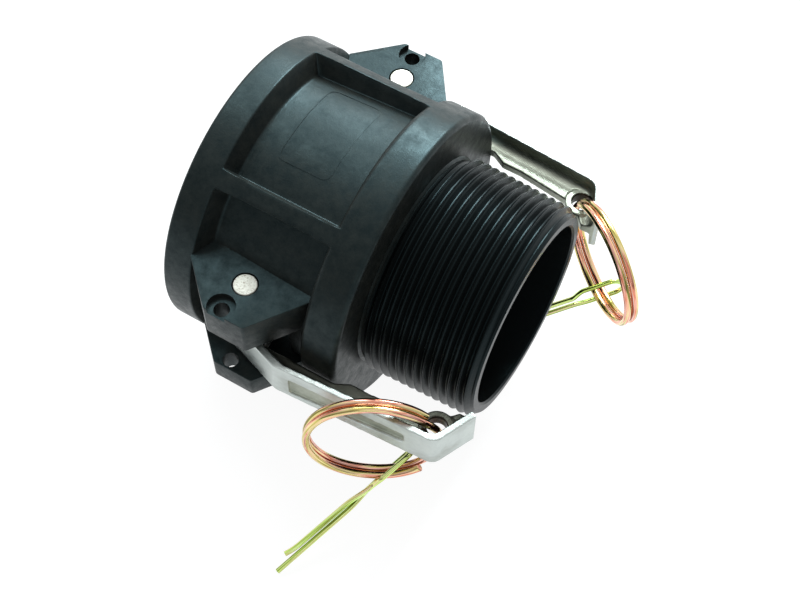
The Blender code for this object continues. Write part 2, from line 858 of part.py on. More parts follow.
def clip_mesh(name, hang):
    """Half-round wire, its flat side inwards, swept along the clip's path."""
    path = clip_path(hang)
    section = [(0.0, -LEG_RADIUS), (0.0, LEG_RADIUS)]
    for i in range(1, LEG_SIDES):
        angle = math.pi * i / LEG_SIDES
        section.append((LEG_RADIUS * math.sin(angle), LEG_RADIUS * math.cos(angle)))
    work = bmesh.new()
    last = None
    for i, here in enumerate(path):
        before = path[max(i - 1, 0)]
        after = path[min(i + 1, len(path) - 1)]
        forward = (after - before).normalized()
        outward = Vector((-forward.y, forward.x, 0))
        ring = [
            work.verts.new(here + outward * out + Vector((0, 0, across)))
            for out, across in section
        ]
        edges = [work.edges.new((ring[k - 1], ring[k])) for k in range(len(ring))]
        if last:
            bmesh.ops.bridge_loops(work, edges=last + edges)
        else:
            work.faces.new(ring)
        last = edges
    work.faces.new(ring)
    bmesh.ops.recalc_face_normals(work, faces=work.faces)
    mesh = bpy.data.meshes.new(name)
    work.to_mesh(mesh)
    work.free()
    smooth(mesh, 40)
    return mesh


def make_clip(pivot, side, word, hang):
    name = f"{word}_safety_clip"
    seat, frame = clip_frame(side, hang)
    clip = place(name, clip_mesh(name, hang), pivot, seat, "yellow_zinc")
    clip.rotation_euler = frame.to_euler()
    return clip


def centre_on_floor(root):
    """Moves the coupler so that its box stands over the origin, lowest point at zero."""
    bpy.context.view_layer.update()
    graph = bpy.context.evaluated_depsgraph_get()
    low = Vector((1e9, 1e9, 1e9))
    high = -low
    for piece in PIECES.objects:
        if piece.type != "MESH":
            continue
        evaluated = piece.evaluated_get(graph)
        for vert in evaluated.data.vertices:
            point = evaluated.matrix_world @ vert.co
            low = Vector(map(min, low, point))
            high = Vector(map(max, high, point))
    middle = (low + high) / 2
    root.location = (-middle.x, -middle.y, -low.z)


clear_scene()
PIECES = bpy.data.collections.new("cam_and_groove_coupler")
HELPERS = bpy.data.collections.new("cutters")
HELPERS.hide_render = True
bpy.context.scene.collection.children.link(PIECES)
bpy.context.scene.collection.children.link(HELPERS)
SIDES = ((1, "far"), (-1, "near"))

coupler_root = empty("coupler_root", None)
make_body(coupler_root)
make_gasket(coupler_root)
for SIDE, WORD in SIDES:
    make_pin(coupler_root, SIDE, WORD)
    lever_pivot = make_lever(coupler_root, SIDE, WORD)
    make_ring(lever_pivot, SIDE, WORD, HANGS[WORD])
    make_clip(lever_pivot, SIDE, WORD, HANGS[WORD])
centre_on_floor(coupler_root)
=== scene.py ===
# %% [markdown]
# # A cam and groove coupler
# The coupler is a black moulded socket with a tapered pipe thread, two cast cam arms on pins,
# and a split ring with a clip on each arm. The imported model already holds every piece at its
# real size, and fixes where each one sits and how it moves. This script gives the pieces their
# looks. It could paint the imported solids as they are, but they are coarse and the thread is
# plain, so each visible piece is modelled again here, finer, in the same place.

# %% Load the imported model
import math

import bmesh
import bpy
from mathutils import Matrix, Vector


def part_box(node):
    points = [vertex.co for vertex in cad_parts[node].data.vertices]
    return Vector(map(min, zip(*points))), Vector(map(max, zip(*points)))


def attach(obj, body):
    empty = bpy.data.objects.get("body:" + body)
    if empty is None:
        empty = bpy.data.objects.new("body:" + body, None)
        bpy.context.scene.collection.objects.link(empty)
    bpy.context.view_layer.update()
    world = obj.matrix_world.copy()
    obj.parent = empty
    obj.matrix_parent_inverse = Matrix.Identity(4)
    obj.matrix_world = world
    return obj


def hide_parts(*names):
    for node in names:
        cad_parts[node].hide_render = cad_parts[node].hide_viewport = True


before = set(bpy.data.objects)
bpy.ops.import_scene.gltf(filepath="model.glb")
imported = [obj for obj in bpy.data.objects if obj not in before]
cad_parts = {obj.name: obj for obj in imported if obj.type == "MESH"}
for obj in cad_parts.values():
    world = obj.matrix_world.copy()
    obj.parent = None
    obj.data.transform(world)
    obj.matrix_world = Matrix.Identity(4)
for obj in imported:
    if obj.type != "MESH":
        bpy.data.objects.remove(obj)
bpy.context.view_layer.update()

# %% [markdown]
# ## Where the coupler lies
# Everything is easier to size when the pipe's axis is the X axis and the socket's mouth is at
# zero, with Y across to the far arm and Z up. So each piece is modelled in that frame and moved
# to its place at the very end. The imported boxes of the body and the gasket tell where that
# frame lies, so no offset is typed in.

# %% The coupler's own frame
body_low, body_high = (Vector(corner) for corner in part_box("coupler_body"))
gasket_low, gasket_high = (Vector(corner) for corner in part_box("gasket"))
gasket_middle = (gasket_low + gasket_high) / 2
ORIGIN = Vector((body_low.x, gasket_middle.y, gasket_middle.z))
print("socket mouth at", tuple(round(value * 1000, 2) for value in ORIGIN), "mm")

# %% [markdown]
# ## The camera
# The photograph looks down on the coupler from the thread's side. Its place, direction and lens
# were fitted to the outline of the body, so they are numbers in the coupler's own frame. A
# camera looks along its own -Z, with X to the right, so three directions make its matrix.

# %% Camera at the photograph's angle
CAMERA_AT = Vector((0.144495, -0.175445, 0.319242))
CAMERA_LOOKS = Vector((-0.24917, 0.44054, -0.86246)).normalized()
CAMERA_RIGHT = Vector((0.85983, 0.51044, 0.01232)).normalized()
camera_up = CAMERA_RIGHT.cross(CAMERA_LOOKS)


def into_scene(name, data):
    """A new object with this data, in the scene."""
    thing = bpy.data.objects.new(name, data)
    bpy.context.scene.collection.objects.link(thing)
    return thing


lens = bpy.data.cameras.new("photo_camera")
lens.lens = 66.55
lens.sensor_width = 36
lens.clip_start = 0.01
camera = into_scene("photo_camera", lens)
turn = Matrix((CAMERA_RIGHT, camera_up, -CAMERA_LOOKS)).transposed().to_4x4()
camera.matrix_world = Matrix.Translation(ORIGIN + CAMERA_AT) @ turn
bpy.context.scene.camera = camera
print("camera", round(CAMERA_AT.length, 3), "m from the socket's mouth")

# %% [markdown]
# ## Small helpers for nodes
# Each finish below is a handful of shader nodes. Adding and linking them takes several lines
# each in plain Python, so two helpers keep the cells short: one adds a node and sets it up, and
# the other joins an output to an input.

# %% Node helpers
def add_node(material, kind, **settings):
    """A node of this kind, with its settings and then its inputs set by name."""
    node = material.node_tree.nodes.new(kind)
    for name, value in settings.items():
        if hasattr(node, name):
            setattr(node, name, value)
        else:
            node.inputs[name.replace("_", " ")].default_value = value
    return node


def join(material, output, target):
    material.node_tree.links.new(output, target)


def ramp(material, source, stops):
    """A colour ramp fed by source. Each stop is a place and a colour."""
    node = add_node(material, "ShaderNodeValToRGB")
    elements = node.color_ramp.elements
    for index, (place, colour) in enumerate(stops):
        stop = elements[index] if index < 2 else elements.new(place)
        stop.position = place
        stop.color = (*colour, 1)
    join(material, source, node.inputs["Fac"])
    return node.outputs["Color"]


def spread(material, source, low, high, from_low=0.3, from_high=0.7):
    """Maps a noise's usual range, or the one given, onto low to high."""
    node = add_node(
        material, "ShaderNodeMapRange",
        From_Min=from_low, From_Max=from_high, To_Min=low, To_Max=high,
    )
    join(material, source, node.inputs["Value"])
    return node.outputs["Result"]


def noise(material, scale, detail=4.0, roughness=0.55):
    """Noise in the object's own metres, so a scale of 1000 has features about 1 mm wide."""
    coordinates = add_node(material, "ShaderNodeTexCoord")
    node = add_node(
        material, "ShaderNodeTexNoise", Scale=scale, Detail=detail, Roughness=roughness
    )
    join(material, coordinates.outputs["Object"], node.inputs["Vector"])
    return node.outputs["Fac"]


def bump(material, shader, height, depth, strength=1.0, below=None):
    """Roughens the surface by depth metres where height runs from 0 to 1."""
    node = add_node(material, "ShaderNodeBump", Strength=strength, Distance=depth)
    join(material, height, node.inputs["Height"])
    if below:
        join(material, below, node.inputs["Normal"])
    join(material, node.outputs["Normal"], shader.inputs["Normal"])
    return node.outputs["Normal"]


def mixed(material, share, first, second):
    """The colour first where share is 0, and second, which may be a plain one, where it is 1."""
    node = add_node(material, "ShaderNodeMix", data_type="RGBA")
    # The node also has sockets for numbers and vectors. These are the ones for colours.
    factor, start, end, result = 0, 6, 7, 2
    join(material, share, node.inputs[factor])
    join(material, first, node.inputs[start])
    if isinstance(second, tuple):
        node.inputs[end].default_value = (*second, 1)
    else:
        join(material, second, node.inputs[end])
    return node.outputs[result]


def seeing_rays(material):
    """Whether a ray comes from the camera, and whether it sees rather than only lights."""
    path = add_node(material, "ShaderNodeLightPath")
    camera_ray = total = path.outputs["Is Camera Ray"]
    for kind in ("Is Glossy Ray", "Is Transmission Ray"):
        node = add_node(material, "ShaderNodeMath", operation="ADD", use_clamp=True)
        join(material, total, node.inputs[0])
        join(material, path.outputs[kind], node.inputs[1])
        total = node.outputs[0]
    return camera_ray, total


def show_by_ray(material, seeing, lighting, seen, output):
    """Gives the rays that see one shader, and those that only light the other."""
    pick = add_node(material, "ShaderNodeMixShader")
    join(material, seeing, pick.inputs[0])
    join(material, lighting.outputs[0], pick.inputs[1])
    join(material, seen.outputs[0], pick.inputs[2])
    join(material, pick.outputs[0], add_node(material, output).inputs["Surface"])


def new_finish(name, metallic=0.0, specular=0.5):
    material = bpy.data.materials.new(name)
    material.use_nodes = True
    shader = material.node_tree.nodes["Principled BSDF"]
    shader.inputs["Metallic"].default_value = metallic
    shader.inputs["Specular IOR Level"].default_value = specular
    return material, shader


print("node helpers ready")

# %% [markdown]
# ## Floor, world and lamps
# The photograph is a cut-out on pure white. White could come from flooding the scene with
# light, but that would wash out the black moulding. Instead the floor and the world show white
# to the camera and to reflections, and light the coupler only mildly. The floor keeps part of
# its real shading, so the coupler still casts a faint shadow. In reflections the world is
# brighter above and on the far side, where the photograph's soft light came from.

# %% Floor
FLOOR_GLOW = 0.91
FLOOR_COLOUR = (0.80, 0.80, 0.80, 1)
FLOOR_SHADING = (0.20, 0.20, 0.20, 1)

floor_work = bmesh.new()
bmesh.ops.create_grid(floor_work, x_segments=1, y_segments=1, size=4.0)
floor_mesh = bpy.data.meshes.new("floor")
floor_work.to_mesh(floor_mesh)
floor_work.free()
floor = into_scene("floor", floor_mesh)
floor.location = (0, 0, -0.0001)

ground = bpy.data.materials.new("white_sweep")
ground.use_nodes = True
ground.node_tree.nodes.clear()
_, seeing = seeing_rays(ground)
glow = add_node(ground, "ShaderNodeEmission", Strength=FLOOR_GLOW)
matt = add_node(ground, "ShaderNodeBsdfDiffuse", Color=FLOOR_COLOUR)
dimmed = add_node(ground, "ShaderNodeBsdfDiffuse", Color=FLOOR_SHADING)
both = add_node(ground, "ShaderNodeAddShader")
join(ground, glow.outputs[0], both.inputs[0])
join(ground, dimmed.outputs[0], both.inputs[1])
show_by_ray(ground, seeing, matt, both, "ShaderNodeOutputMaterial")
floor_mesh.materials.append(ground)
print("floor at", round(floor.location.z * 1000, 2), "mm")

# %% World
WORLD_LIGHT = 0.42
BRIGHT_SIDE = (-0.22, 0.78, 0.58)
DIM_SIDE_STRENGTH = 0.30

world = bpy.data.worlds.new("white_studio")
world.use_nodes = True
bpy.context.scene.world = world
world.node_tree.nodes.clear()
camera_ray, seeing = seeing_rays(world)
soft = add_node(
    world, "ShaderNodeBackground", Strength=WORLD_LIGHT, Color=(0.93, 0.97, 1.0, 1)
)
white = add_node(world, "ShaderNodeBackground", Color=(1, 1, 1, 1))
direction = add_node(world, "ShaderNodeTexCoord")
lit_side = add_node(world, "ShaderNodeVectorMath", operation="DOT_PRODUCT")
lit_side.inputs[1].default_value = BRIGHT_SIDE
join(world, direction.outputs["Generated"], lit_side.inputs[0])
shade = spread(world, lit_side.outputs["Value"], DIM_SIDE_STRENGTH, 1.0, -0.5, 0.6)
brightness = add_node(world, "ShaderNodeMath", operation="MAXIMUM")
join(world, shade, brightness.inputs[0])
join(world, camera_ray, brightness.inputs[1])
join(world, brightness.outputs[0], white.inputs["Strength"])
show_by_ray(world, seeing, soft, white, "ShaderNodeOutputWorld")
print("world lights at", WORLD_LIGHT)

# %% [markdown]
# The photograph's highlights lie on what faces up and to the far side, so the main lamp is a
# large soft panel there. Two dimmer ones lift the top and the near side a little.

# %% Lamps
def soft_panel(name, direction, distance, size, power, colour):
    """A square lamp that looks at the coupler's middle from a direction."""
    lamp = bpy.data.lights.new(name, "AREA")
    lamp.size = size
    lamp.energy = power
    lamp.color = colour
    panel = into_scene(name, lamp)
    middle = Vector((0, 0, 0.04))
    towards = Vector(direction).normalized()
    panel.matrix_world = Matrix.Translation(middle + towards * distance) @ (
        towards.to_track_quat("Z", "Y").to_matrix().to_4x4()
    )
    print(name, power, "W")


soft_panel("far_panel", (-0.12, 0.80, 0.62), 0.9, 0.42, 15.0, (0.88, 0.98, 1.0))
soft_panel("top_panel", (-0.55, 0.35, 0.90), 1.0, 0.35, 2.5, (0.92, 0.99, 1.0))
soft_panel("near_panel", (0.5, -0.9, 0.5), 1.2, 0.8, 1.3, (1.0, 0.99, 0.97))
bpy.context.scene.view_settings.view_transform = "Standard"

# %% [markdown]
# ## The black moulding
# The body is glass-filled nylon: black, with a satin skin that clouds a little where the resin
# flowed, and a fine grain. One flat black would look like rubber, so soft noise moves the
# colour and the gloss in patches some millimetres wide, and a fine noise gives the grain. The
# faint blue-green of the photograph lies in the highlights, so it is the specular tint. The
# thread left its mould by unscrewing, which polished it: there the black is deeper and
# glossier, from where X passes the thread's start.

# %% Moulded black
POLISH_STARTS = 0.0508
POLISH_BLEND = 0.0004
THREAD_ROUGHNESS = 0.30

black, shader = new_finish("moulded_black_resin")
clouds = noise(black, 300, detail=7, roughness=0.74)
grain = noise(black, 2600, detail=2)
tone = ramp(
    black,
    clouds,
    [(0.36, (0.0052, 0.0054, 0.0048)), (0.66, (0.0200, 0.0208, 0.0182))],
)
where = add_node(black, "ShaderNodeTexCoord")
parts = add_node(black, "ShaderNodeSeparateXYZ")
join(black, where.outputs["Object"], parts.inputs["Vector"])
neck = ORIGIN.x + POLISH_STARTS
on_thread = spread(
    black, parts.outputs["X"], 0.0, 1.0, neck - POLISH_BLEND, neck + POLISH_BLEND
)
tone = mixed(black, on_thread, tone, (0.0046, 0.0054, 0.0055))
join(black, tone, shader.inputs["Base Color"])
glossier = add_node(black, "ShaderNodeMix", data_type="FLOAT")
glossier.inputs[3].default_value = THREAD_ROUGHNESS
join(black, on_thread, glossier.inputs[0])
join(black, spread(black, clouds, 0.50, 0.30, 0.35, 0.65), glossier.inputs[2])
join(black, glossier.outputs[0], shader.inputs["Roughness"])
join(
    black,
    spread(black, on_thread, 0.27, 0.14, 0.0, 1.0),
    shader.inputs["Specular IOR Level"],
)
shader.inputs["Specular Tint"].default_value = (0.48, 0.86, 0.96, 1)
flow = bump(black, shader, clouds, 0.00012, 0.6)
bump(black, shader, grain, 0.00003, 0.6, below=flow)
print("made", black.name)

# %% [markdown]
# ## Rubber, cast steel and bright steel
# The gasket is matt black rubber with a powdery bloom. The arms are cast stainless, tumbled
# until they are satin, with a pebbly skin and small pits. Their hollows, recess and ring hole
# get painted shade: a darker, warmer tone of the same steel. An attribute on the arm says how
# much painted shade a point gets, and mixes the two. In the ring hole, and in the near arm's
# hollows, which face the black moulding, it goes past 1, which deepens the painted shade to
# near black. The pins are drawn and cut, so they are brighter and only lightly speckled.

# %% Gasket rubber
rubber, shader = new_finish("gasket_rubber", specular=0.3)
bloom = noise(rubber, 300, detail=5)
tone = ramp(rubber, bloom, [(0.3, (0.010, 0.010, 0.011)), (0.75, (0.022, 0.022, 0.022))])
join(rubber, tone, shader.inputs["Base Color"])
join(rubber, spread(rubber, bloom, 0.55, 0.75), shader.inputs["Roughness"])
bump(rubber, shader, noise(rubber, 1800), 0.00003)
print("made", rubber.name)

# %% Cast stainless
steel, shader = new_finish("tumbled_cast_steel", metallic=1.0)
skin = noise(steel, 900, detail=5, roughness=0.65)
stains = noise(steel, 110, detail=4)
tumbled = ramp(
    steel,
    stains,
    [(0.28, (0.38, 0.41, 0.38)), (0.52, (0.53, 0.58, 0.56)), (0.8, (0.62, 0.67, 0.64))],
)
# Painted shade: a darker, warmer tone of the steel for the hollows, recess and ring hole.
painted_shade_tone = ramp(
    steel,
    stains,
    [(0.28, (0.24, 0.26, 0.21)), (0.60, (0.40, 0.43, 0.36)), (0.85, (0.48, 0.51, 0.44))],
)
# The arm's attribute says how much painted shade each point gets.
painted_shade = add_node(steel, "ShaderNodeAttribute", attribute_name="painted_shade")
shade_amount = painted_shade.outputs["Fac"]
# Past 1 the painted shade deepens to near black, in the ring hole and the near arm's hollows.
deep_shade_share = spread(steel, shade_amount, 0.0, 1.0, 1.0, 2.0)
deep_shade_tone = mixed(steel, deep_shade_share, painted_shade_tone, (0.035, 0.032, 0.026))
tone = mixed(steel, shade_amount, tumbled, deep_shade_tone)
join(steel, tone, shader.inputs["Base Color"])
join(steel, spread(steel, skin, 0.32, 0.50), shader.inputs["Roughness"])
bump(steel, shader, skin, 0.00008, 0.8)
print("made", steel.name)

# %% Bright pin steel
pin_steel, shader = new_finish("cut_pin_steel", metallic=1.0)
specks = noise(pin_steel, 2400, detail=3, roughness=0.6)
tone = ramp(
    pin_steel,
    specks,
    [(0.32, (0.34, 0.30, 0.24)), (0.42, (0.60, 0.60, 0.54)), (0.8, (0.68, 0.69, 0.64))],
)
join(pin_steel, tone, shader.inputs["Base Color"])
join(pin_steel, spread(pin_steel, specks, 0.65, 0.5), shader.inputs["Roughness"])
bump(pin_steel, shader, specks, 0.00003, 0.6)
print("made", pin_steel.name)

# %% [markdown]
# ## Yellow zinc
# The rings and the clips are steel wire with a yellow chromate over bright zinc. The film's
# thickness drifts along the wire, so it runs through gold, pink, red and olive. The colour
# comes from noise through a ramp with those stops. The film could be traced as a real thin
# layer, but a ramp keeps the colours that the photograph shows, and exports. The streaks
# follow the wire, so each wire later gets an attribute that says how far along it a point
# lies, in centimetres, and where round it.

# %% Yellow zinc for rings and clips
def yellow_zinc(name, stops, run, round_it):
    """Zinc whose colour drifts slowly along the wire and faster round it."""
    finish, shader = new_finish(name, metallic=1.0)
    wire = add_node(finish, "ShaderNodeAttribute", attribute_name="wire")
    mapping = add_node(finish, "ShaderNodeMapping", Scale=(run, round_it, round_it))
    join(finish, wire.outputs["Vector"], mapping.inputs["Vector"])
    drift = add_node(finish, "ShaderNodeTexNoise", Scale=1.0, Detail=2.0)
    join(finish, mapping.outputs["Vector"], drift.inputs["Vector"])
    wide = spread(finish, drift.outputs["Fac"], 0.0, 1.0, 0.30, 0.70)
    join(finish, ramp(finish, wide, stops), shader.inputs["Base Color"])
    wear = noise(finish, 900, detail=4)
    join(finish, spread(finish, wear, 0.12, 0.24), shader.inputs["Roughness"])
    bump(finish, shader, wear, 0.00002, 0.5)
    print("made", name)
    return finish


ring_zinc = yellow_zinc(
    "ring_yellow_zinc",
    [
        (0.08, (0.22, 0.20, 0.05)),
        (0.24, (0.62, 0.52, 0.16)),
        (0.38, (0.86, 0.72, 0.38)),
        (0.52, (0.90, 0.50, 0.36)),
        (0.64, (0.70, 0.22, 0.12)),
        (0.76, (0.90, 0.56, 0.48)),
        (0.92, (0.24, 0.07, 0.04)),
    ],
    0.55, 1.1,
)
clip_zinc = yellow_zinc(
    "clip_yellow_zinc",
    [
        (0.10, (0.16, 0.14, 0.03)),
        (0.28, (0.42, 0.54, 0.10)),
        (0.45, (0.62, 0.88, 0.22)),
        (0.58, (0.78, 0.94, 0.42)),
        (0.70, (0.60, 0.62, 0.19)),
        (0.86, (0.80, 0.64, 0.40)),
    ],
    0.35, 1.3,
)

# %% [markdown]
# ## Helpers for shapes
# Most forms here are one of three kinds: a section turned about the pipe, a flat outline given
# a thickness, or a round bar. Each has a helper that uses the bmesh operator for it. Joining
# and cutting is left to Boolean modifiers, whose result is read back as a plain mesh.

# %% Sections, outlines and bars
def rounded(corners, steps=8):
    """An outline from (x, y, radius) corners, with an arc at each that has a radius."""
    outline = []
    count = len(corners)
    for index, (x, y, radius) in enumerate(corners):
        here = Vector((x, y))
        if radius == 0:
            outline.append(here)
            continue
        back = (Vector(corners[index - 1][:2]) - here).normalized()
        ahead = (Vector(corners[(index + 1) % count][:2]) - here).normalized()
        half = back.angle(ahead) / 2
        centre = here + (back + ahead).normalized() * radius / math.sin(half)
        first = here + back * radius / math.tan(half) - centre
        last = here + ahead * radius / math.tan(half) - centre
        sweep = first.angle_signed(last)
        for step in range(steps + 1):
            outline.append(centre + Matrix.Rotation(-sweep * step / steps, 2) @ first)
    return outline


def as_mesh(work, name):
    """Closes a bmesh with its faces outwards, as a mesh."""
    bmesh.ops.remove_doubles(work, verts=work.verts, dist=1e-6)
    bmesh.ops.recalc_face_normals(work, faces=work.faces)
    mesh = bpy.data.meshes.new(name)
    work.to_mesh(mesh)
    work.free()
    return mesh


LEVEL = 1e-7


def slab(outline, low, high):
    """An outline in X and Y with a thickness in Z, as a bmesh."""
    work = bmesh.new()
    face = work.faces.new([work.verts.new((x, y, low)) for x, y in outline])
    lifted = bmesh.ops.extrude_face_region(work, geom=[face])["geom"]
    top = [item for item in lifted if isinstance(item, bmesh.types.BMVert)]
    bmesh.ops.translate(work, verts=top, vec=(0, 0, high - low))
    return work


def round_rims(work, edge, clamp):
    """Rounds the level edges, which are the rims of the flat ends."""
    rims = [rim for rim in work.edges if abs(rim.verts[0].co.z - rim.verts[1].co.z) < LEVEL]
    bmesh.ops.bevel(
        work, geom=rims, offset=edge, segments=3, profile=0.5,
        affect="EDGES", material=-1, clamp_overlap=clamp,
    )


def plate(name, outline, low, high, edge=0.0):
    """A slab as a mesh, its rims rounded by edge."""
    work = slab(outline, low, high)
    if edge:
        round_rims(work, edge, clamp=True)
    return as_mesh(work, name)


def bar(name, radius, low, high, centre=(0, 0), sides=64, edge=0.0):
    """A round bar along Z, its rims rounded by edge."""
    work = bmesh.new()
    middle = Matrix.Translation((*centre, (low + high) / 2))
    bmesh.ops.create_cone(
        work, cap_ends=True, segments=sides, radius1=radius, radius2=radius,
        depth=high - low, matrix=middle,
    )
    if edge:
        round_rims(work, edge, clamp=False)
    return as_mesh(work, name)


def turned(name, section, sides):
    """An (along, radius) section turned about the axis, closed unless it starts on it."""
    work = bmesh.new()
    points = [work.verts.new((along, 0, radius)) for along, radius in section]
    first = 1 if section[0][1] == 0 else 0
    edges = [work.edges.new((points[i - 1], points[i])) for i in range(first, len(points))]
    bmesh.ops.spin(
        work, geom=points + edges, cent=(0, 0, 0), axis=(1, 0, 0),
        angle=2 * math.pi, steps=sides, use_merge=True,
    )
    return as_mesh(work, name)


def helper(data):
    """Puts a mesh or a curve in the scene for as long as the modelling needs it."""
    return into_scene("helper", data)


def finished(thing):
    """A helper's mesh as its modifiers leave it. The helper is taken away."""
    bpy.context.view_layer.update()
    graph = bpy.context.evaluated_depsgraph_get()
    mesh = bpy.data.meshes.new_from_object(thing.evaluated_get(graph))
    bpy.data.objects.remove(thing, do_unlink=True)
    return mesh


def combine(mesh, steps):
    """Joins or cuts a mesh with others, in turn, and returns the result."""
    base = helper(mesh)
    others = []
    for operation, other in steps:
        thing = helper(other)
        others.append(thing)
        change = base.modifiers.new("change", "BOOLEAN")
        change.operation = operation
        change.solver = "MANIFOLD"
        change.object = thing
    result = finished(base)
    for thing in others:
        bpy.data.objects.remove(thing, do_unlink=True)
    return result


def place(name, mesh, finish, slot, body, stands_for=(), sharp=32):
    """Moves a finished mesh to the coupler's place and hands it to its body."""
    mesh.transform(Matrix.Translation(ORIGIN))
    mesh.materials.clear()
    mesh.materials.append(finish)
    mesh.shade_smooth()
    mesh.set_sharp_from_angle(angle=math.radians(sharp))
    thing = into_scene(name, mesh)
    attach(thing, body)
    if stands_for:
        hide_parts(*stands_for)
    faces = len(mesh.polygons)
    print(name, faces, "faces,", [round(side * 1000, 1) for side in thing.dimensions], "mm")


print("shape helpers ready")

# %% [markdown]
# ## The body's main form
# The moulding is round, with four shallow pockets round its waist and a rib between each two.
# Pockets could be cut out, but cutting leaves hard corners everywhere. So one section is turned
# about the axis, and then its points are moved: round each rib they keep the full radius, and
# elsewhere they drop to the pocket's section, which has drafted walls and small fillets. More
# turns are placed close to the ribs, so that their walls stay crisp.

# %% Sizes of the body
SOCKET_RADIUS = 0.0320
WAIST_RADIUS = 0.0345
WAIST_RISE = 0.0013
OUTER_RADIUS = 0.0400
FLANGE_LENGTH = 0.0080
FLANGE_DRAFT = 0.0023
FLANGE_EDGE = 0.0009
WAIST_END = 0.0398
SHOULDER_END = 0.0500
SHOULDER_ROUND = 0.0015
RIB_MIDDLE = math.radians(34.6)
RIB_HALF = math.radians(3.3)
CORE_RADIUS = 0.0220
CORE_END = SHOULDER_END + 0.0006
NECK_RADIUS = 0.0280
THREAD_START = 0.0515
THREAD_END = 0.0817
BORE_RADIUS = 0.0245

POCKET = rounded(
    [
        (0.0074, OUTER_RADIUS, 0),
        (FLANGE_LENGTH, OUTER_RADIUS, 0.0005),
        (FLANGE_LENGTH + FLANGE_DRAFT, WAIST_RADIUS, 0.0009),
        (FLANGE_LENGTH + 0.012, WAIST_RADIUS + 0.0004, 0),
        (FLANGE_LENGTH + 0.022, WAIST_RADIUS + 0.0009, 0),
        (WAIST_END, WAIST_RADIUS + WAIST_RISE, 0.0006),
        (WAIST_END, OUTER_RADIUS, SHOULDER_ROUND),
        (WAIST_END + SHOULDER_ROUND + 0.0006, OUTER_RADIUS, 0),
    ],
    steps=6,
)
print("pocket section has", len(POCKET), "points")

# %% Angles of the turned section
RIB_WALL = [
    (-0.50, 1.0), (-0.25, 0.985), (-0.08, 0.90), (0.06, 0.55), (0.20, 0.16),
    (0.36, 0.045), (0.62, 0.012), (1.05, 0.0),
]


def column_angles():
    """Angles round the pipe with the share of rib at each, closer together at rib walls."""
    columns = []
    for middle in (RIB_MIDDLE, math.pi - RIB_MIDDLE, math.pi + RIB_MIDDLE, -RIB_MIDDLE):
        for side in (-1, 1):
            for away, share in RIB_WALL:
                angle = middle + side * (RIB_HALF + math.radians(away))
                columns.append((angle % (2 * math.pi), share))
    columns.sort()
    filled = []
    widest = math.radians(1.3)
    for index, (angle, share) in enumerate(columns):
        filled.append((angle, share))
        after, after_share = columns[(index + 1) % len(columns)]
        room = (after - angle) % (2 * math.pi)
        extra = int(room / widest)
        for step in range(1, extra + 1):
            between = 1.0 if share > 0.5 and after_share > 0.5 else 0.0
            filled.append(((angle + room * step / (extra + 1)) % (2 * math.pi), between))
    return sorted(filled)


COLUMNS = column_angles()
print(len(COLUMNS), "columns round the pipe")

# %% Turn the body and drop its pockets
def body_section():
    """The closed section through a rib: flange, rib, shoulder and a core inside them."""
    shoulder = rounded(
        [
            (SHOULDER_END - 0.004, OUTER_RADIUS, 0),
            (SHOULDER_END, OUTER_RADIUS, SHOULDER_ROUND),
            (SHOULDER_END, NECK_RADIUS + 0.001, 0),
        ]
    )
    flange = rounded(
        [
            (0.004, OUTER_RADIUS, 0),
            (0, OUTER_RADIUS, FLANGE_EDGE),
            (0, OUTER_RADIUS - 0.004, 0),
        ]
    )
    first, last = POCKET[0].x, POCKET[-1].x
    rib = [
        Vector((first + (last - first) * i / (len(POCKET) - 1), OUTER_RADIUS))
        for i in range(len(POCKET))
    ]
    core = [Vector((0, CORE_RADIUS)), Vector((CORE_END, CORE_RADIUS))]
    neck = [Vector((CORE_END, NECK_RADIUS + 0.0003))]
    return flange[::-1] + rib + shoulder + neck + core[::-1], len(flange)


section, rib_start = body_section()
work = bmesh.new()
points = [work.verts.new((along, 0, radius)) for along, radius in section]
edges = [work.edges.new((points[i - 1], points[i])) for i in range(len(points))]
bmesh.ops.spin(
    work, geom=points + edges, cent=(0, 0, 0), axis=(1, 0, 0),
    angle=2 * math.pi, steps=len(COLUMNS), use_merge=True,
)
first, last = POCKET[0].x, POCKET[-1].x
for vert in work.verts:
    along, across, up = vert.co
    radius = math.hypot(across, up)
    angle = math.atan2(-across, up) % (2 * math.pi)
    column = round(angle / (2 * math.pi) * len(COLUMNS)) % len(COLUMNS)
    new_angle, share = COLUMNS[column]
    spot = (along - first) / (last - first) * (len(POCKET) - 1)
    if -1e-6 <= spot <= len(POCKET) - 1 + 1e-6 and radius > OUTER_RADIUS - 1e-6:
        pocket = POCKET[round(spot)]
        along = along * share + pocket.x * (1 - share)
        radius = radius * share + pocket.y * (1 - share)
    vert.co = (along, radius * math.sin(new_angle), radius * math.cos(new_angle))
body_form = as_mesh(work, "body_form")
print("body form has", len(body_form.polygons), "faces")

# %% [markdown]
# ## The pipe thread
# The male end carries a tapered pipe thread of eleven turns to the inch. A stack of plain rings
# would look close, but a real thread climbs, and that shows where it starts and ends. So one
# pitch of its outline is spun round and carried along the pipe as it turns, which makes the
# helix, and the turns are then welded. The points are moved afterwards: in towards the end for
# the taper and its chamfer, and down to a plain neck beside the shoulder.

# %% Helical thread
PITCH = 0.0254 / 11
THREAD_DEPTH = 0.00148
CREST_AT_END = 0.02894
TAPER = 1 / 32
END_RIM = 0.0271
THREAD_SIDES = 128
TURNS = 17
DRAWN_AT = 0.02
NECK_OVERLAP = 0.0022
TOOTH = [
    (0.00, 0.00), (0.06, 0.02), (0.13, 0.12), (0.37, 0.84), (0.43, 0.95), (0.50, 1.00),
    (0.57, 0.95), (0.63, 0.84), (0.87, 0.12), (0.94, 0.02), (1.00, 0.00),
]


def smooth_step(value):
    value = min(1.0, max(0.0, value))
    return value * value * (3 - 2 * value)


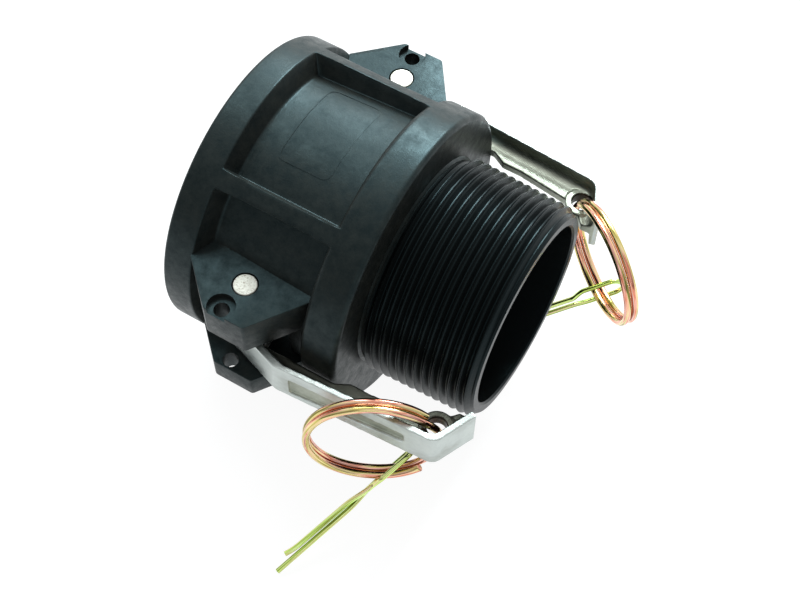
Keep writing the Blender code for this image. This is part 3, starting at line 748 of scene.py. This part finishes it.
def thread_surface(along, height):
    """The radius where the tooth's outline has this height, from 0 at its root to 1."""
    crest = CREST_AT_END + (THREAD_END - along) * TAPER
    grown = smooth_step((along - THREAD_START + 0.0004) / 0.0016)
    radius = crest - THREAD_DEPTH + height * THREAD_DEPTH
    radius = NECK_RADIUS + (radius - NECK_RADIUS) * grown
    return min(radius, END_RIM + (THREAD_END - along) * 0.95)


work = bmesh.new()
start = THREAD_START - 2.4 * PITCH
points = [
    work.verts.new((start + share * PITCH, 0, DRAWN_AT + height)) for share, height in TOOTH
]
edges = [work.edges.new(pair) for pair in zip(points, points[1:])]
bmesh.ops.spin(
    work, geom=points + edges, cent=(0, 0, 0), axis=(1, 0, 0),
    dvec=(PITCH / THREAD_SIDES, 0, 0), angle=2 * math.pi * TURNS,
    steps=THREAD_SIDES * TURNS, use_merge=False,
)
bmesh.ops.remove_doubles(work, verts=work.verts, dist=1e-6)
for plane, normal in (
    (THREAD_START - NECK_OVERLAP, (-1, 0, 0)), (THREAD_END, (1, 0, 0))
):
    everything = list(work.verts) + list(work.edges) + list(work.faces)
    bmesh.ops.bisect_plane(
        work, geom=everything, plane_co=(plane, 0, 0), plane_no=normal,
        clear_outer=True, dist=1e-7,
    )
for vert in work.verts:
    along, across, up = vert.co
    distance = math.hypot(across, up)
    radius = thread_surface(along, distance - DRAWN_AT)
    vert.co = (along, across * radius / distance, up * radius / distance)
rims = [edge for edge in work.edges if edge.is_boundary]
bmesh.ops.holes_fill(work, edges=rims, sides=0)
bmesh.ops.triangulate(work, faces=[face for face in work.faces if len(face.verts) > 4])
thread_form = as_mesh(work, "thread_form")
print("thread has", len(thread_form.polygons), "faces over", TURNS, "turns before trimming")

# %% [markdown]
# ## Ears, socket and holes
# Two pairs of ears stand out at the sides and carry the arms' pins. They are flat outlines with
# a thickness and softly rounded rims. The socket, the gasket's groove and the way through are
# one turned cutter. The arms' windows, the pins' holes and the stepped holes for the clips are
# cut last, as on the mould, where cores and slides make them.

# %% Ears
PIVOT_ALONG = 0.0235
PIVOT_OUT = 0.0365
PIN_RADIUS = 0.0030
PIN_CLEARANCE = 0.0003
EAR_TOP = 0.01724
EAR_BOTTOM = -0.0163
SLOT_TOP = 0.0063
SLOT_BOTTOM = -0.0095
EAR_ROOT = 0.0240
EAR_OUTLINE = rounded(
    [
        (0.0077, EAR_ROOT, 0),
        (0.0077, 0.0365, 0),
        (0.0185, 0.0470, 0.0012),
        (0.0296, 0.0470, 0.0012),
        (0.0379, 0.0350, 0.0006),
        (0.0398, 0.0322, 0),
        (0.0398, EAR_ROOT, 0),
    ]
)
ears = []
for side in (1, -1):
    outline = [(x, side * y) for x, y in EAR_OUTLINE]
    for low, high in ((SLOT_TOP, EAR_TOP), (EAR_BOTTOM, SLOT_BOTTOM)):
        ears.append(("UNION", plate("ear", outline, low, high, edge=0.0004)))
print(len(ears), "ears")

# %% Socket, windows and holes
SOCKET_DEPTH = 0.0360
SOCKET_LEAD_IN = 0.0012
GROOVE_END = 0.0429
GROOVE_RADIUS = 0.03365
SEAT_RADIUS = 0.0254
BORE_START = 0.0489
PAST_THREAD = 0.085
WINDOW_START, WINDOW_END = 0.0140, 0.0340
CLIP_HOLE = (0.0220, 0.0445)
CLIP_HOLE_RADIUS = 0.0020
CLIP_STEP_RADIUS = 0.00355
CLIP_STEP_DEPTH = 0.0016
HOLE_LOW, HOLE_HIGH = -0.02, 0.02

bore = turned(
    "bore",
    [
        (PAST_THREAD, 0), (PAST_THREAD, BORE_RADIUS + 0.0038),
        (THREAD_END - 0.0005, BORE_RADIUS), (BORE_START, BORE_RADIUS),
        (GROOVE_END, SEAT_RADIUS), (GROOVE_END, GROOVE_RADIUS),
        (SOCKET_DEPTH, GROOVE_RADIUS), (SOCKET_DEPTH, SOCKET_RADIUS),
        (SOCKET_LEAD_IN, SOCKET_RADIUS), (-SOCKET_LEAD_IN, SOCKET_RADIUS + 0.0020),
        (-SOCKET_LEAD_IN, 0),
    ],
    256,
)
cuts = [("DIFFERENCE", bore)]
for side in (1, -1):
    window = [(WINDOW_START, side * EAR_ROOT), (WINDOW_END, side * EAR_ROOT),
              (WINDOW_END, side * PIVOT_OUT), (WINDOW_START, side * PIVOT_OUT)]
    cuts.append(("DIFFERENCE", plate("window", window, SLOT_BOTTOM, SLOT_TOP)))
    pivot = (PIVOT_ALONG, side * PIVOT_OUT)
    hole = (CLIP_HOLE[0], side * CLIP_HOLE[1])
    for radius, low, centre in (
        (PIN_RADIUS + PIN_CLEARANCE, HOLE_LOW, pivot),
        (CLIP_HOLE_RADIUS, HOLE_LOW, hole),
        (CLIP_STEP_RADIUS, EAR_TOP - CLIP_STEP_DEPTH, hole),
    ):
        cuts.append(("DIFFERENCE", bar("hole", radius, low, HOLE_HIGH, centre)))
body_mesh = combine(body_form, [("UNION", thread_form), *ears, *cuts])
print("body mesh has", len(body_mesh.polygons), "faces")

# %% Place the body
place(
    "coupler_moulding", body_mesh, black, "moulded_black", "body",
    ["coupler_body"], sharp=28,
)

# %% [markdown]
# ## The bare panel
# A thin raised line frames a place on the top pocket's floor, where such fittings carry their
# marking. Here the place stays bare. The frame is drawn flat, as one rounded outline inside
# another, bridged and given a height, and then wrapped round the pipe by moving its points.

# %% Raised frame on the top pocket
LINE_WIDTH = 0.00040
LINE_HEIGHT = 0.00010


def frame_loop(work, inset):
    """A rounded rectangle of edges, with its arc length across in Y."""
    low, high = 0.0165 + inset, 0.0312 - inset
    near, far = -0.0108 + inset, 0.0150 - inset
    outline = rounded(
        [(low, near, 0.002), (high, near, 0.002), (high, far, 0.002), (low, far, 0.002)]
    )
    verts = [work.verts.new((x, y, 0)) for x, y in outline]
    return [work.edges.new((verts[i - 1], verts[i])) for i in range(len(verts))]


work = bmesh.new()
loops = frame_loop(work, 0) + frame_loop(work, LINE_WIDTH)
bmesh.ops.bridge_loops(work, edges=loops)
lifted = bmesh.ops.extrude_face_region(work, geom=list(work.faces))["geom"]
top = [item for item in lifted if isinstance(item, bmesh.types.BMVert)]
bmesh.ops.translate(work, verts=top, vec=(0, 0, LINE_HEIGHT * 2))
long_edges = [edge for edge in work.edges if edge.calc_length() > 0.003]
bmesh.ops.subdivide_edges(work, edges=long_edges, cuts=11)
for vert in work.verts:
    along, arc, height = vert.co
    floor_radius = WAIST_RADIUS + WAIST_RISE * (along - 0.0103) / 0.0295
    radius = floor_radius + height - LINE_HEIGHT
    angle = arc / WAIST_RADIUS
    vert.co = (along, radius * math.sin(angle), radius * math.cos(angle))
panel_mesh = as_mesh(work, "panel_frame")
place("bare_panel_frame", panel_mesh, black, "moulded_black", "body")

# %% [markdown]
# ## Gasket and pins
# The gasket is a flat rubber ring at the bottom of the socket, so it is a turned section with
# rounded rims. Each pin is a plain bar, cut flush with the ears, with a small chamfer.

# %% Gasket
gasket_section = rounded(
    [
        (0.0363, 0.0254, 0.0005), (0.0363, 0.0317, 0.0004), (0.0375, 0.03335, 0.0004),
        (0.04265, 0.03335, 0.0005), (0.04265, 0.0254, 0.0005),
    ],
    steps=4,
)
place(
    "gasket_ring", turned("gasket_ring", gasket_section, 192), rubber, "seal_rubber",
    "body", ["gasket"],
)

# %% Pivot pins
for side, word in ((1, "far"), (-1, "near")):
    mesh = bar(
        f"{word}_pin", PIN_RADIUS, EAR_BOTTOM, EAR_TOP, (PIVOT_ALONG, side * PIVOT_OUT),
        sides=72, edge=0.0003,
    )
    place(f"{word}_pin", mesh, pin_steel, "pin_steel", "body", [f"{word}_pivot_pin"])

# %% [markdown]
# ## The cam arms
# Each arm is one casting: an eye with the cam lobe, a flat web, and a skin along its outer face
# that turns round the tip into a short toe. Both faces are hollowed beside the web, and the
# metal swells where the web meets the skin. The outline gets its full thickness first, and the
# hollows are cut with cutters whose inner rim is rounded, which leaves that swell.

# %% Sizes of the arms
ARM_BOTTOM = -0.0082
ARM_TOP = 0.0042
WEB_BOTTOM = -0.0033
WEB_TOP = -0.0006
SKIN = 0.0016
TOE_SKIN = 0.0018
HEAD_RADIUS = 0.0052
LOBE_RADIUS = 0.0047
LOBE_DROP = 0.0032
HOLLOW_START = 0.0065
HOLLOW_OPEN = -0.0099
HOLLOW_ROUND = 0.0032
RECESS_START, RECESS_LENGTH = 0.0170, 0.0315
RECESS_LOW, RECESS_HIGH = -0.0065, 0.0003
CROWN = Vector((0.0129, 0.0097))
KNEE = Vector((0.0165, 0.0097))
TIP = Vector((0.0567, 0.0072))
TOE = Vector((0.0618, -0.0040))
RING_HOLE = Vector((0.0541, 0.0013))
RING_HOLE_RADIUS = 0.0025
BOSS_RADIUS = 0.0043
BOSS_HEIGHT = 0.00045
WEB_EDGE = OUTER_RADIUS + 0.0004 - PIVOT_OUT


def arc(centre, radius, start, end, steps):
    points = []
    for step in range(steps + 1):
        angle = math.radians(start + (end - start) * step / steps)
        points.append(Vector(centre) + Vector((math.cos(angle), math.sin(angle))) * radius)
    return points


print("arm is", round((TOE.x + HEAD_RADIUS) * 1000, 1), "mm long")

# %% Outline of an arm, seen along its pin
tip_round = rounded([(*KNEE, 0), (*TIP, 0.0034), (*TOE, 0)], steps=10)
arm_outline = [
    *arc((0, 0), HEAD_RADIUS, 180, 95, 16),
    *rounded([(0, HEAD_RADIUS, 0), (*CROWN, 0.004), (*TIP, 0)], steps=6)[1:-1],
    *tip_round[1:],
    Vector((TOE.x - TOE_SKIN, TOE.y - 0.0006)),
    Vector((TOE.x - 0.0047, TOE.y - 0.0009)),
    *arc(RING_HOLE, BOSS_RADIUS, -75, -165, 8),
    Vector((0.0360, WEB_EDGE - 0.0020)),
    Vector((0.0305, WEB_EDGE - 0.0020)),
    Vector((0.0268, WEB_EDGE)),
    Vector((0.0123, WEB_EDGE)),
    Vector((0.0068, WEB_EDGE + 0.0003)),
    *arc((0, 0), HEAD_RADIUS, 38, 0, 6),
    *arc((0, -LOBE_DROP), LOBE_RADIUS, 0, -180, 28),
]
line_slope = (TIP.y - CROWN.y) / (TIP.x - KNEE.x)
toe_slope = (TOE.x - TIP.x) / (TIP.y - TOE.y)
inner_out = TIP.y - SKIN
inner_tip = TIP.x + toe_slope * (TIP.y - inner_out) - TOE_SKIN * math.hypot(1, toe_slope)
hollow_outline = rounded(
    [
        (HOLLOW_START, HOLLOW_OPEN, 0),
        (HOLLOW_START, CROWN.y * HOLLOW_START / CROWN.x + SKIN / 2, HOLLOW_ROUND),
        (KNEE.x - SKIN, CROWN.y - SKIN, HOLLOW_ROUND),
        (inner_tip, inner_out, HOLLOW_ROUND),
        (inner_tip + toe_slope * (inner_out - HOLLOW_OPEN), HOLLOW_OPEN, 0),
    ]
)
print("arm outline has", len(arm_outline), "points")

# %% Cut and join the arm
def hollow(web, outside, swell):
    """A hollow's cutter, rounded where it meets the web."""
    work = slab(hollow_outline, web, outside)
    rim = [e for e in work.edges if all(abs(v.co.z - web) < LEVEL for v in e.verts)]
    bmesh.ops.bevel(
        work, geom=rim, offset=swell, segments=8, profile=0.5, affect="EDGES", material=-1
    )
    return as_mesh(work, "hollow")


def recess():
    """A cutter for the shallow panel in the outer face, narrower towards the tip."""
    outline = rounded(
        [(0, RECESS_LOW, 0.0008), (RECESS_LENGTH, -0.0035, 0.0008),
         (RECESS_LENGTH, RECESS_HIGH, 0.0008), (0, RECESS_HIGH, 0.0008)]
    )
    mesh = plate("recess", outline, -0.0008, 0.002)
    height = CROWN.y + line_slope * (RECESS_START - KNEE.x)
    tilt = Matrix.Rotation(math.atan(line_slope), 4, "Z")
    upright = Matrix.Scale(-1, 4, (0, 1, 0)) @ Matrix.Rotation(math.pi / 2, 4, "X")
    mesh.transform(Matrix.Translation((RECESS_START, height, 0)) @ tilt @ upright)
    work = bmesh.new()
    work.from_mesh(mesh)
    return as_mesh(work, "recess")


arm_form = combine(
    plate("arm", arm_outline, ARM_BOTTOM, ARM_TOP),
    [
        ("DIFFERENCE", hollow(WEB_TOP, 0.006, 0.0026)),
        ("DIFFERENCE", hollow(WEB_BOTTOM, -0.010, 0.0014)),
        ("UNION", bar("boss", BOSS_RADIUS, WEB_BOTTOM - BOSS_HEIGHT, WEB_TOP + BOSS_HEIGHT,
                      RING_HOLE, edge=0.0003)),
        ("DIFFERENCE", recess()),
        ("DIFFERENCE", bar("ring_hole", RING_HOLE_RADIUS, -0.01, 0.01, RING_HOLE)),
        ("DIFFERENCE", bar("pin_hole", PIN_RADIUS + PIN_CLEARANCE, -0.01, 0.01)),
    ],
)
print("arm has", len(arm_form.polygons), "faces before its edges are rounded")

# %% [markdown]
# A tumbled casting has no sharp edge left. A Bevel modifier could round the edges, but it
# stumbles where a cut left short ones. So the arm is remeshed in small even cells and smoothed
# a little, which eases every edge alike and leaves the slightly soft skin of a casting. Then
# each point is given its amount of painted shade, by how far it lies behind the outer face and
# between the rims. The near arm is the far one mirrored, and its hollows get a deeper painted
# shade.

# %% Tumble the arm and place both
softened = helper(arm_form)
cells = softened.modifiers.new("cells", "REMESH")
cells.mode = "VOXEL"
cells.voxel_size = 0.00026
ease = softened.modifiers.new("tumbled", "SMOOTH")
ease.factor = 0.5
ease.iterations = 4
arm_mesh = finished(softened)


def painted_shade_at(spot, hollow_shade):
    """Painted shade at a point: 0 on open faces, 1 in the recess, the given amount in the hollows,
    2 in the ring hole.
    """
    line = min(
        CROWN.y + line_slope * (spot.x - KNEE.x),
        HEAD_RADIUS + (CROWN.y - HEAD_RADIUS) * spot.x / CROWN.x,
    )
    toe = TIP.x + toe_slope * (TIP.y - spot.y)
    behind = min(line - spot.y, toe - spot.x)
    between_rims = ARM_BOTTOM + 0.0005 < spot.z < ARM_TOP - 0.0005
    # The ring hole gets the deepest painted shade, near black.
    if (spot.xy - RING_HOLE).length < RING_HOLE_RADIUS + 0.0003:
        return 2.0
    if spot.x > HOLLOW_START + 0.0003 and between_rims and behind > SKIN - 0.0003:
        return hollow_shade
    past_recess = 0.0002
    in_recess = (
        -past_recess < spot.x - RECESS_START < RECESS_LENGTH + past_recess
        and RECESS_LOW - past_recess < spot.z < RECESS_HIGH + past_recess
    )
    if in_recess and 0.0004 < behind < SKIN - 0.0003:
        return 1.0
    return 0.0


# Painted shade in the hollows: 1 on the far arm, a deeper 1.75 on the near arm, which faces the
# black moulding.
for side, word, hollow_shade in ((1, "far", 1.0), (-1, "near", 1.75)):
    mesh = arm_mesh.copy()
    marks = mesh.attributes.new("painted_shade", "FLOAT", "POINT")
    for index, vert in enumerate(mesh.vertices):
        marks.data[index].value = painted_shade_at(vert.co, hollow_shade)
    if side < 0:
        mesh.transform(Matrix.Scale(-1, 4, (0, 1, 0)))
        mesh.flip_normals()
    mesh.transform(Matrix.Translation((PIVOT_ALONG, side * PIVOT_OUT, 0)))
    place(
        f"{word}_arm_casting", mesh, steel, "cast_stainless", f"{word}_arm",
        [f"{word}_cam_arm"], sharp=70,
    )

# %% [markdown]
# ## The split rings
# A split ring is two turns of round wire lying side by side. The turns cross over in the arm's
# hole, where only one wire passes, and the loose ends stop some way short of it. Such a wire is
# a curve with a round bevel: the path is worked out point by point, and Blender sweeps it.

# %% How the rings and clips hang
RING_RADIUS = 0.0164
WIRE_RADIUS = 0.00095
TURN_GAP = 0.00005
CROSSING = math.radians(26)
HANGS = {
    "far": {
        "side": 1, "heading": -37.5, "lean": 4.7, "sag": 22.6,
        "seat": (-0.00035, -0.00044, 0.00080), "clip_at": -89.7, "legs_heading": 220.5,
        "legs_dip": 21.2, "eye_roll": 4.0, "from_throat": 0.0034, "aside": -0.0008,
        "throat": (0.0001, 0.0019), "tips": (0.0005, 0.0020), "twist": 0.0, "ends": (26, 17),
    },
    "near": {
        "side": -1, "heading": 208.3, "lean": 3.8, "sag": 23.0,
        "seat": (-0.00010, -0.00004, 0.0), "clip_at": -104.0, "legs_heading": 246.9,
        "legs_dip": 21.6, "eye_roll": -19.0, "from_throat": 0.0015, "aside": 0.0,
        "throat": (0.0, 0.0), "tips": (0.0001, 0.0001), "twist": 75.0, "ends": (68, 17),
    },
}


def ring_seat(hang):
    """Where the ring passes through its arm's hole."""
    side = hang["side"]
    level = (WEB_TOP + WEB_BOTTOM) / 2
    hole = Vector((RING_HOLE.x, side * RING_HOLE.y, level))
    return Vector((PIVOT_ALONG, side * PIVOT_OUT, 0)) + hole + Vector(hang["seat"])


def ring_turn(hang):
    """Turns the ring's own plane into the leaning one that it hangs in."""
    upright = Matrix.Rotation(math.radians(90 + hang["lean"]), 4, "X")
    return Matrix.Rotation(math.radians(hang["heading"]), 4, "Z") @ upright


def ring_centre(hang):
    sag = math.radians(hang["sag"])
    return Vector((math.cos(sag), -math.sin(sag), 0)) * RING_RADIUS


print("rings are", RING_RADIUS * 2000, "mm across their wire's middle")

# %% Wind the rings
def wound_wire(name, path, radius):
    """A round wire swept along a path, as a mesh with closed ends."""
    curve = bpy.data.curves.new(name, "CURVE")
    curve.dimensions = "3D"
    curve.bevel_depth = radius
    curve.bevel_resolution = 6
    curve.use_fill_caps = True
    spline = curve.splines.new("POLY")
    spline.points.add(len(path) - 1)
    for point, spot in zip(spline.points, path):
        point.co = (*spot, 1)
    work = bmesh.new()
    work.from_mesh(finished(helper(curve)))
    ends = [edge for edge in work.edges if len(edge.link_faces) == 1]
    if ends:
        bmesh.ops.holes_fill(work, edges=ends, sides=0)
    return as_mesh(work, name)


def mark_ring(mesh, centre):
    """Notes on each point how far along the wire it lies and where round it.

    The two turns are set 40 cm apart, so that their streaks differ.
    """
    wire = mesh.attributes.new("wire", "FLOAT_VECTOR", "POINT")
    for index, vert in enumerate(mesh.vertices):
        spoke = Vector((vert.co.x, vert.co.y, 0)) - centre
        along = math.atan2(spoke.y, spoke.x) * RING_RADIUS * 100
        turn_side = 1 if vert.co.z > 0 else -1
        around = math.atan2(vert.co.z - turn_side * WIRE_RADIUS, spoke.length - RING_RADIUS)
        wire.data[index].vector = (
            along + 20 * turn_side, math.cos(around), math.sin(around)
        )


for word, hang in HANGS.items():
    centre = ring_centre(hang)
    at_hole = math.atan2(-centre.y, -centre.x)
    path = []
    count = 300
    first, last = (math.radians(end) for end in hang["ends"])
    for step in range(count + 1):
        turned_by = first + (4 * math.pi - first - last) * step / count
        across = max(-1.0, min(1.0, (turned_by - 2 * math.pi) / CROSSING))
        angle = at_hole + turned_by
        path.append(
            (
                centre.x + RING_RADIUS * math.cos(angle),
                centre.y + RING_RADIUS * math.sin(angle),
                (WIRE_RADIUS + TURN_GAP) * math.sin(across * math.pi / 2),
            )
        )
    mesh = wound_wire(f"{word}_ring", path, WIRE_RADIUS)
    mark_ring(mesh, centre)
    mesh.transform(Matrix.Translation(ring_seat(hang)) @ ring_turn(hang))
    place(
        f"{word}_split_ring", mesh, ring_zinc, "yellow_zinc", f"{word}_ring",
        [f"{word}_pull_ring"], sharp=50,
    )

# %% [markdown]
# ## The safety clips
# Each clip is thin wire folded on itself, with an eye at the fold that hangs on the ring. The
# near one is twisted behind its eye, and the far one's short leg has sprung away. The wire's
# section is drawn across its middle line at each point, and bridged to the next one.

# %% Path of a clip
CLIP_WIRE_RADIUS = 0.00068
EYE_WIDTH = 0.0050
EYE_LENGTH = 0.0094
THROAT = 0.0045
LEG_LENGTH = 0.0366
SHORTER = 0.0045
FLARE = 0.0006
INNER_GAP = 0.00004
TWIST_LENGTH = 0.009
WIRE_SIDES = 20


def half_gap(hang, which, end):
    """How far out a leg's middle line lies at one end of it."""
    return INNER_GAP + hang[end][which] + CLIP_WIRE_RADIUS


def leg(length, hang, which, flare):
    """One leg's middle line from its tip to the throat, for the side where Y is above zero."""
    points = []
    closed, at_tip = half_gap(hang, which, "throat"), half_gap(hang, which, "tips")
    for step in range(41):
        share = step / 40
        along = length + (THROAT - length) * share
        out = closed + (at_tip - closed) * (1 - share) + flare * max(0, 1 - share * 6) ** 2
        twist = smooth_step((along - THROAT) / TWIST_LENGTH) * math.radians(hang["twist"])
        points.append(
            Vector((hang["from_throat"] + along, out * math.cos(twist), out * math.sin(twist)))
        )
    return points


def half_eye(hang, which):
    """Half of the eye, from the throat to the end of its loop."""
    bend = EYE_WIDTH / 2 + CLIP_WIRE_RADIUS
    closed = half_gap(hang, which, "throat")
    throat = hang["from_throat"]
    loop = throat - EYE_LENGTH + EYE_WIDTH / 2
    points = []
    for step in range(1, 17):
        share = step / 16
        swell = (1 - math.cos(share * math.pi)) / 2
        points.append(Vector((throat + THROAT * (1 - share), closed + (bend - closed) * swell, 0)))
    points.append(Vector(((throat + loop) / 2, bend, 0)))
    for step in range(17):
        angle = math.pi / 2 * (1 + step / 16)
        points.append(Vector((loop + bend * math.cos(angle), bend * math.sin(angle), 0)))
    return points


def clip_path(hang):
    """The wire's middle line: the long leg, the eye and the short leg."""
    first = leg(LEG_LENGTH, hang, 0, 0.0) + half_eye(hang, 0)
    second = leg(LEG_LENGTH - SHORTER, hang, 1, FLARE) + half_eye(hang, 1)[:-1]
    return [Vector((p.x, -p.y, -p.z)) for p in first] + second[::-1]


print("clip path has", len(clip_path(HANGS["far"])), "points")

# %% Sweep and hang the clips
def clip_frame(hang):
    """The clip's place and its axes: X to its tips, Y across its eye, Z through it."""
    turn = ring_turn(hang)
    around = math.radians(hang["clip_at"])
    outward = Vector((math.cos(around), math.sin(around), 0))
    forward = Vector((-math.sin(around), math.cos(around), 0))
    seat = ring_seat(hang) + turn @ (ring_centre(hang) + outward * RING_RADIUS)
    strand = turn.to_3x3() @ forward
    heading, dip = math.radians(hang["legs_heading"]), math.radians(hang["legs_dip"])
    legs = Vector(
        (math.cos(dip) * math.cos(heading), math.cos(dip) * math.sin(heading), -math.sin(dip))
    )
    normal = (strand - legs * strand.dot(legs)).normalized()
    normal.rotate(Matrix.Rotation(math.radians(hang["eye_roll"]), 3, legs))
    across = normal.cross(legs)
    seat += across * hang["aside"]
    return Matrix.Translation(seat) @ Matrix((legs, across, normal)).transposed().to_4x4()


for word, hang in HANGS.items():
    path = clip_path(hang)
    work = bmesh.new()
    wire = work.verts.layers.float_vector.new("wire")
    run = 0.0
    last_edges = None
    for index, here in enumerate(path):
        before, after = path[max(index - 1, 0)], path[min(index + 1, len(path) - 1)]
        forward = (after - before).normalized()
        outward = Vector((-forward.y, forward.x, 0)).normalized()
        upward = forward.cross(outward)
        run += (here - before).length * 100
        loop = []
        for step in range(WIRE_SIDES):
            around = 2 * math.pi * step / WIRE_SIDES
            spoke = outward * math.cos(around) - upward * math.sin(around)
            vert = work.verts.new(here + spoke * CLIP_WIRE_RADIUS)
            vert[wire] = (run, math.cos(around), math.sin(around))
            loop.append(vert)
        loop_edges = [work.edges.new((loop[k - 1], loop[k])) for k in range(len(loop))]
        if last_edges:
            bmesh.ops.bridge_loops(work, edges=last_edges + loop_edges)
        else:
            work.faces.new(loop)
        last_edges = loop_edges
    work.faces.new(loop)
    mesh = as_mesh(work, f"{word}_clip")
    mesh.transform(clip_frame(hang))
    place(
        f"{word}_clip", mesh, clip_zinc, "yellow_zinc", f"{word}_clip",
        [f"{word}_safety_clip"], sharp=40,
    )
